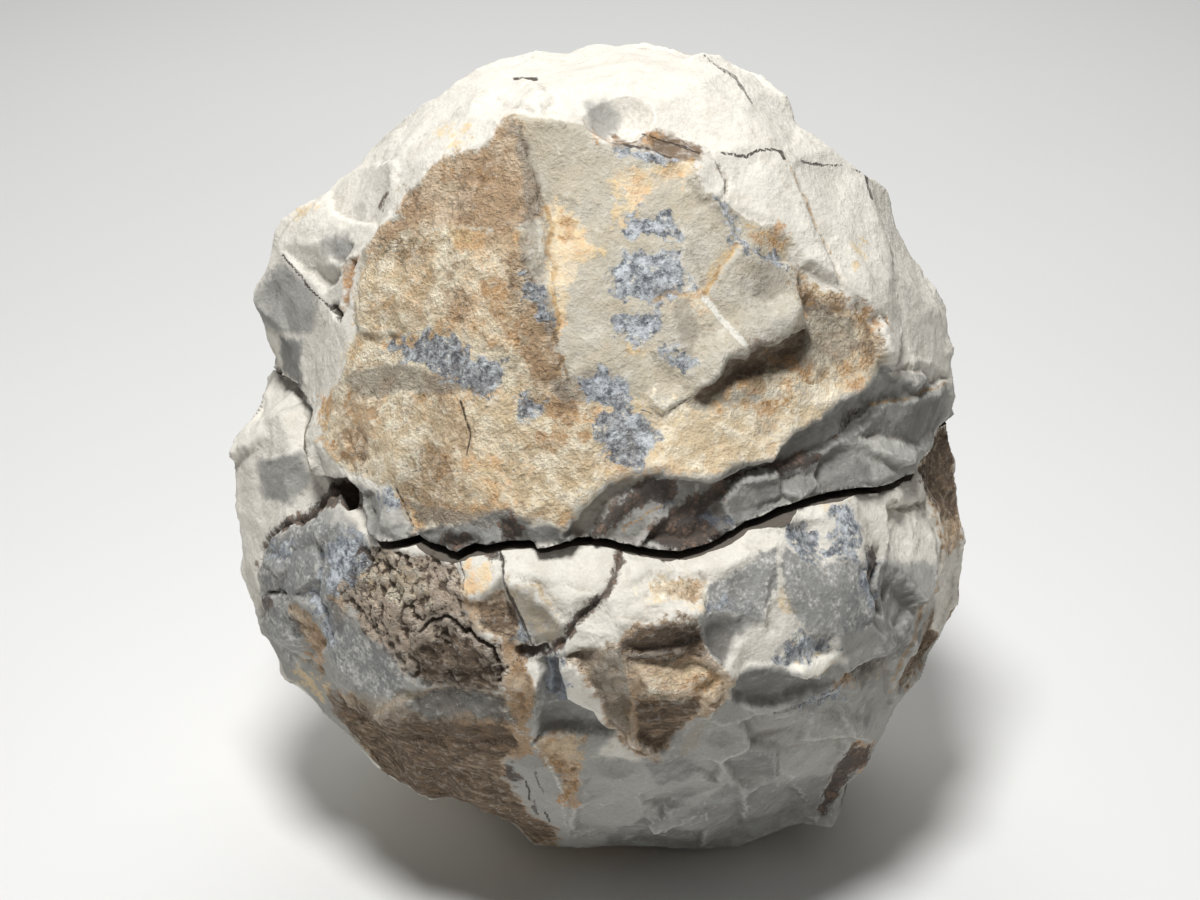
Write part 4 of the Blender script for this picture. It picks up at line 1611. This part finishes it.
    def lay_stains(self):
        """Taupe and smoky shadows, grey scaly shell, brown fibrous stone and rust."""
        cloud, other, grit = self.cloud, self.other, self.grit
        self.lay(self.stain("taupe", 0.6) * (0.7 + cloud * 0.15), self.colours.taupe)
        light = self.share(cloud + other * 0.5, -0.6, 0.9)
        self.lay(self.smoke * 0.85, self.mix(light, self.colours.smoke, LIGHT_SMOKE))
        scaly = self.share(other * 0.9 + grit * 0.6, -0.2, 0.9)
        self.lay(self.shell * 0.85, self.mix(scaly, DARK_SCALE, LIGHT_SCALE))
        fibre = self.noise(2.4, 5, 0.65, shift=41, stretch=(0.45, 1.0, 2.0))
        self.lay(self.umber * self.share(fibre + grit * 0.3, -1.4, 0.3), self.colours.umber)
        dark = self.share(other * 0.3 - fibre, 0.4, 1.1)
        self.lay(self.umber * dark * 0.7, DARK_FIBRE)
        rust = self.stain("rust", 1.1, other)
        self.rust = rust * self.share(other + grit * 0.5, -0.8, 0.7)
        self.lay(self.rust * 0.85, self.colours.rust)

    def lay_specks(self):
        """Orange spots, brown stains, dark crumbs, clefts and pale glints of the rough parts."""
        sand, crust, pits = self.sand, self.crust, self.pits
        cloud, other, ragged = self.cloud, self.other, self.ragged
        grit, grains = self.grit, self.grains
        spots = self.share(other + cloud * 0.5 + grit * 0.3, 0.6, 1.0)
        self.lay(spots * (0.6 * sand + 0.4 * crust) * (1 - pits) * 0.8, ORANGE_SPOT)
        brown = self.share(ragged + grit * 0.5 - cloud * 0.3, 0.6, 1.0)
        self.brown = brown * (0.5 * sand + 0.55 * crust + 0.5 * self.rust)
        self.lay(self.brown, BROWN_STAIN)
        patchy = self.share(cloud - ragged * 0.4, -0.7, 0.9)
        crumbs = self.share(grains + ragged * 0.4, 0.6, 0.95) * patchy
        self.crumbs = crumbs * (0.75 * sand + 0.55 * crust + 0.12 * self.cream)
        self.lay(self.crumbs, DARK_CRUMB)
        crackle = self.noise(4.6, 4, 0.62, shift=61, stretch=(0.7, 1.0, 1.4))
        clefts = self.share(-abs(crackle), -0.17, -0.04)
        clefts = clefts * self.share(other - grains * 0.2, -0.3, 0.4)
        rough = pits + crust * 0.35 + sand * 0.3 * patchy + self.umber * 0.3
        self.clefts = clefts * self.share(rough, 0.0, 1.0)
        self.lay(self.clefts * 0.85, CLEFT)
        glints = self.share(other * 0.4 - grains, 0.65, 1.0)
        self.lay(glints * (0.7 * sand + 0.6 * crust), GLINT)

    def lay_crystal(self):
        """Crystal patches: dark and light grains, with the stone around showing through."""
        cloud, other, ragged, streak = self.cloud, self.other, self.ragged, self.streak
        blue = self.mark("blue") + other * 2.4 + ragged * 1.5 + self.fleck * 1.8
        self.blue = self.share(blue, -0.5, 0.7)
        between = self.share(streak * 0.6 + other * 0.9 + self.grit * 0.3, 0.35, 0.75)
        self.lay(self.blue * 0.92, self.layers(
            self.colours.slate,
            (self.share(streak + ragged * 0.5, -0.6, 0.3), self.colours.ice),
            (self.share(streak - other * 0.5, 0.0, 0.5), FROST),
            (between, CRYSTAL_CHALK),
            (self.smoke * 0.75, self.colours.slate),
            (self.share(self.grains * 0.9 - streak * 0.8, 0.5, 0.9) * 0.95, BLACK_GRAIN),
            (self.share(cloud - ragged * 0.7, 0.0, 0.6) * 0.45, self.colours.slate),
        ))

    def lay_veins(self):
        """The crack's own faces, brown veins, gold and cream lines and dark threads."""
        grit, other, ragged = self.grit, self.other, self.ragged
        self.lay(self.mark("inside") * 0.9, CRACK_BROWN)
        self.vein = self.share(self.mark("vein") * 0.5 + ragged * 0.8 + grit * 0.3, -0.25, 0.35)
        light = self.share(ragged + grit * 0.6, -0.1, 1.0)
        self.lay(self.vein * 0.9, self.mix(light, self.colours.vein, LIGHT_VEIN))
        gold = self.mark("gold") + grit * 0.2 + other * 0.35 + ragged * 0.15
        dark = self.share(other, -0.3, 0.8)
        self.lay(self.share(gold, 0.5, 1.0) * 0.75, self.mix(dark, GOLD, DARK_GOLD))
        milk = self.share(self.mark("milk") + grit * 0.2, 0.5, 0.8)
        self.lay(milk * 0.8, CREAM_LINE)
        self.thread = self.share(self.mark("thread") + grit * 0.1, 0.66, 0.88)
        self.lay(self.thread * 0.92, self.colours.vein)

    def lay_dirt(self):
        """Dirt in the hollows, and paler stone where an edge is worn."""
        hollow, cavity = self.mark("hollow"), self.mark("cavity")
        earthy = 0.25 + 0.5 * self.pits + 0.1 * self.crust + 0.05 * self.sand
        dirt = self.share(hollow + cavity * 0.4 + self.ragged * 0.2, 0.25, 1.5)
        self.lay(dirt * earthy, DIRT)
        worn = self.share(-cavity - hollow * 0.4, 0.5, 2.2)
        self.lay(worn * (1 - self.vein) * (1 - self.blue * 0.6) * 0.22, WORN_CHALK)

    def shade_colour(self):
        """Lighten and darken the colour by facets and grains."""
        sand, grit = self.sand, self.grit
        tone = 1 + grit * (0.06 + 0.12 * sand + 0.10 * self.crust) + self.speck * 0.06
        tone = tone + self.mark("tone") * 0.3
        uneven = self.fleck * 0.06 + self.ragged * 0.09
        tone = tone + uneven * (0.4 + self.cream * 0.5 + sand * 0.6)
        grey = self.node("ShaderNodeCombineColor", {}, {0: tone, 1: tone, 2: tone})
        self.set("Base Color", self.stone * grey)

    def set_surface(self):
        """Set the gloss, and the bump of all that is too small for the mesh."""
        blue, vein, sand, grit = self.blue, self.vein, self.sand, self.grit
        self.set("Roughness", 0.9 - blue * 0.34 - vein * 0.15 - self.shell * 0.25 + grit * 0.04)
        self.set("Specular IOR Level", 0.35)
        coarse = 0.3 + self.crust * 1.3 + self.pits + sand + self.cream * 0.4 + self.rust * 0.4
        chip = self.cells(6.5)
        flake = self.cells(2.2)
        relief = chip * chip * self.share(self.broad, -0.5, 0.7) * 0.7 + flake * flake * 0.1
        ridges = self.ragged * 0.24 - abs(self.other) * 0.20 + self.grains * 0.13
        relief = relief + ridges * coarse + grit * 0.075 * (0.2 + coarse)
        relief = relief + self.fleck * (0.05 + 0.2 * sand + 0.1 * self.cream)
        relief = relief + self.speck * 0.018 * (0.4 + coarse) + blue * self.streak * 0.12
        relief = relief - self.thread * 0.25 - vein * 0.15 - self.brown * 0.2
        relief = relief - self.clefts * 0.45 - self.crumbs * 0.15
        self.set("Normal", self.node("ShaderNodeBump", {}, {
            "Strength": 1.0, "Distance": MM, "Height": relief,
        }))


# --------------------------------------------------------------------------------------------
# Pieces

def add_half(context, node, name, drawings, seed):
    """Put one finished half in the place of its CAD solid."""
    scene = context.scene
    mesh = Half(node, drawings, seed, scene.geode_sizes).work()
    mesh.materials.clear()
    mesh.materials.append(StoneFinish(name + "_finish", scene.geode_colours).material)
    piece = bpy.data.objects.new(name, mesh)
    scene.collection.objects.link(piece)
    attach(piece, "root")
    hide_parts(node)
    return piece


class GEODE_OT_upper_stone(bpy.types.Operator):
    """Build the upper half of the geode, with its beige panel"""
    bl_idname = "geode.upper_stone"
    bl_label = "Upper Stone"

    def execute(self, context):
        drawings = {
            "facets": UPPER_FACETS, "steps": UPPER_STEPS, "scoops": UPPER_SCOOPS,
            "grooves": UPPER_GROOVES, "zones": UPPER_ZONES, "thread": UPPER_THREADS,
            "gold": UPPER_GOLD, "milk": UPPER_CREAM_LINES,
        }
        add_half(context, "upper_half", "upper_stone", drawings, 21)
        return {"FINISHED"}


class GEODE_OT_lower_stone(bpy.types.Operator):
    """Build the lower half of the geode, with its pitted mass and brown wedge"""
    bl_idname = "geode.lower_stone"
    bl_label = "Lower Stone"

    def execute(self, context):
        drawings = {
            "facets": LOWER_FACETS, "steps": LOWER_STEPS, "scoops": LOWER_SCOOPS,
            "grooves": LOWER_GROOVES, "zones": LOWER_ZONES, "thread": LOWER_THREADS,
            "gold": LOWER_GOLD, "milk": LOWER_CREAM_LINES,
        }
        add_half(context, "lower_half", "lower_stone", drawings, 34)
        return {"FINISHED"}


def add_lamp(scene, name, place, aim, size, power, spread):
    """A round lamp; the spread is in degrees."""
    lamp = bpy.data.lights.new(name, "AREA")
    lamp.spread = radians(spread)
    lamp.shape = "DISK"
    lamp.size = size
    lamp.energy = power
    holder = bpy.data.objects.new(name, lamp)
    holder.location = place
    holder.rotation_euler = (Vector(aim) - Vector(place)).to_track_quat("-Z", "Y").to_euler()
    scene.collection.objects.link(holder)
    return holder


class GEODE_OT_stage(bpy.types.Operator):
    """Build the floor, the lights and the camera"""
    bl_idname = "geode.stage"
    bl_label = "Stage"

    def execute(self, context):
        scene = context.scene
        stage = scene.geode_stage
        floor_mesh = bpy.data.meshes.new("floor")
        work = bmesh.new()
        bmesh.ops.create_grid(work, x_segments=1, y_segments=1, size=stage.floor_width / 2)
        work.to_mesh(floor_mesh)
        work.free()
        paper = Finish("floor_paper")
        cloud = paper.share(paper.noise(240, 2), -1, 1)
        tint = tuple(stage.floor)
        shade = tuple(channel * 0.985 for channel in tint)
        paper.set("Base Color", paper.mix(cloud, tint, shade))
        paper.set("Roughness", 0.9)
        floor_mesh.materials.append(paper.material)
        floor = bpy.data.objects.new("floor", floor_mesh)
        scene.collection.objects.link(floor)
        floor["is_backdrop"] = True

        world = bpy.data.worlds.new("studio")
        world.use_nodes = True
        back = next(node for node in world.node_tree.nodes if node.type == "BACKGROUND")
        back.inputs["Color"].default_value = (1, 1, 1, 1)
        back.inputs["Strength"].default_value = stage.sky
        scene.world = world
        scene.view_settings.view_transform = "Standard"
        add_lamp(scene, "key", place=(-0.10, -0.36, 1.13), aim=MIDDLE, size=0.3,
                 power=stage.key_power, spread=100)
        add_lamp(scene, "wash", place=(0.0, 0.8, 0.9), aim=(0, 0.65, 0), size=0.8,
                 power=stage.key_power * 0.7, spread=130)

        camera_data = bpy.data.cameras.new("camera")
        camera_data.lens = 84
        camera_data.sensor_width = 36
        camera = bpy.data.objects.new("camera", camera_data)
        turn = Matrix((RIGHT, UP, TOWARDS)).transposed().to_4x4()
        camera.matrix_world = Matrix.Translation(EYE) @ turn
        scene.collection.objects.link(camera)
        scene.camera = camera
        return {"FINISHED"}


class GEODE_PT_sidebar(bpy.types.Panel):
    """Sizes, colours and the buttons that build each piece"""
    bl_idname = "GEODE_PT_sidebar"
    bl_label = "Broken Geode"
    bl_space_type = "VIEW_3D"
    bl_region_type = "UI"
    bl_category = "Geode"

    def draw(self, context):
        scene = context.scene
        for title, group in (
            ("Sizes", scene.geode_sizes),
            ("Colours", scene.geode_colours),
            ("Stage", scene.geode_stage),
        ):
            box = self.layout.box()
            box.label(text=title)
            for name in group.__annotations__:
                box.prop(group, name)
        for operator in PIECES:
            self.layout.operator(operator.bl_idname)


PIECES = (GEODE_OT_upper_stone, GEODE_OT_lower_stone, GEODE_OT_stage)
CLASSES = (GeodeSizes, GeodeColours, GeodeStage, *PIECES, GEODE_PT_sidebar)


def register():
    for kind in CLASSES:
        bpy.utils.register_class(kind)
    bpy.types.Scene.geode_sizes = bpy.props.PointerProperty(type=GeodeSizes)
    bpy.types.Scene.geode_colours = bpy.props.PointerProperty(type=GeodeColours)
    bpy.types.Scene.geode_stage = bpy.props.PointerProperty(type=GeodeStage)


def unregister():
    del bpy.types.Scene.geode_stage
    del bpy.types.Scene.geode_colours
    del bpy.types.Scene.geode_sizes
    for kind in reversed(CLASSES):
        bpy.utils.unregister_class(kind)


def main():
    register()
    bpy.ops.geode.upper_stone()
    bpy.ops.geode.lower_stone()
    bpy.ops.geode.stage()
    boxes = {"cad": CAD_BOX, "visual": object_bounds()}
    plain = {name: [list(corner) for corner in box] for name, box in boxes.items()}


if __name__ == "__main__":
    main()
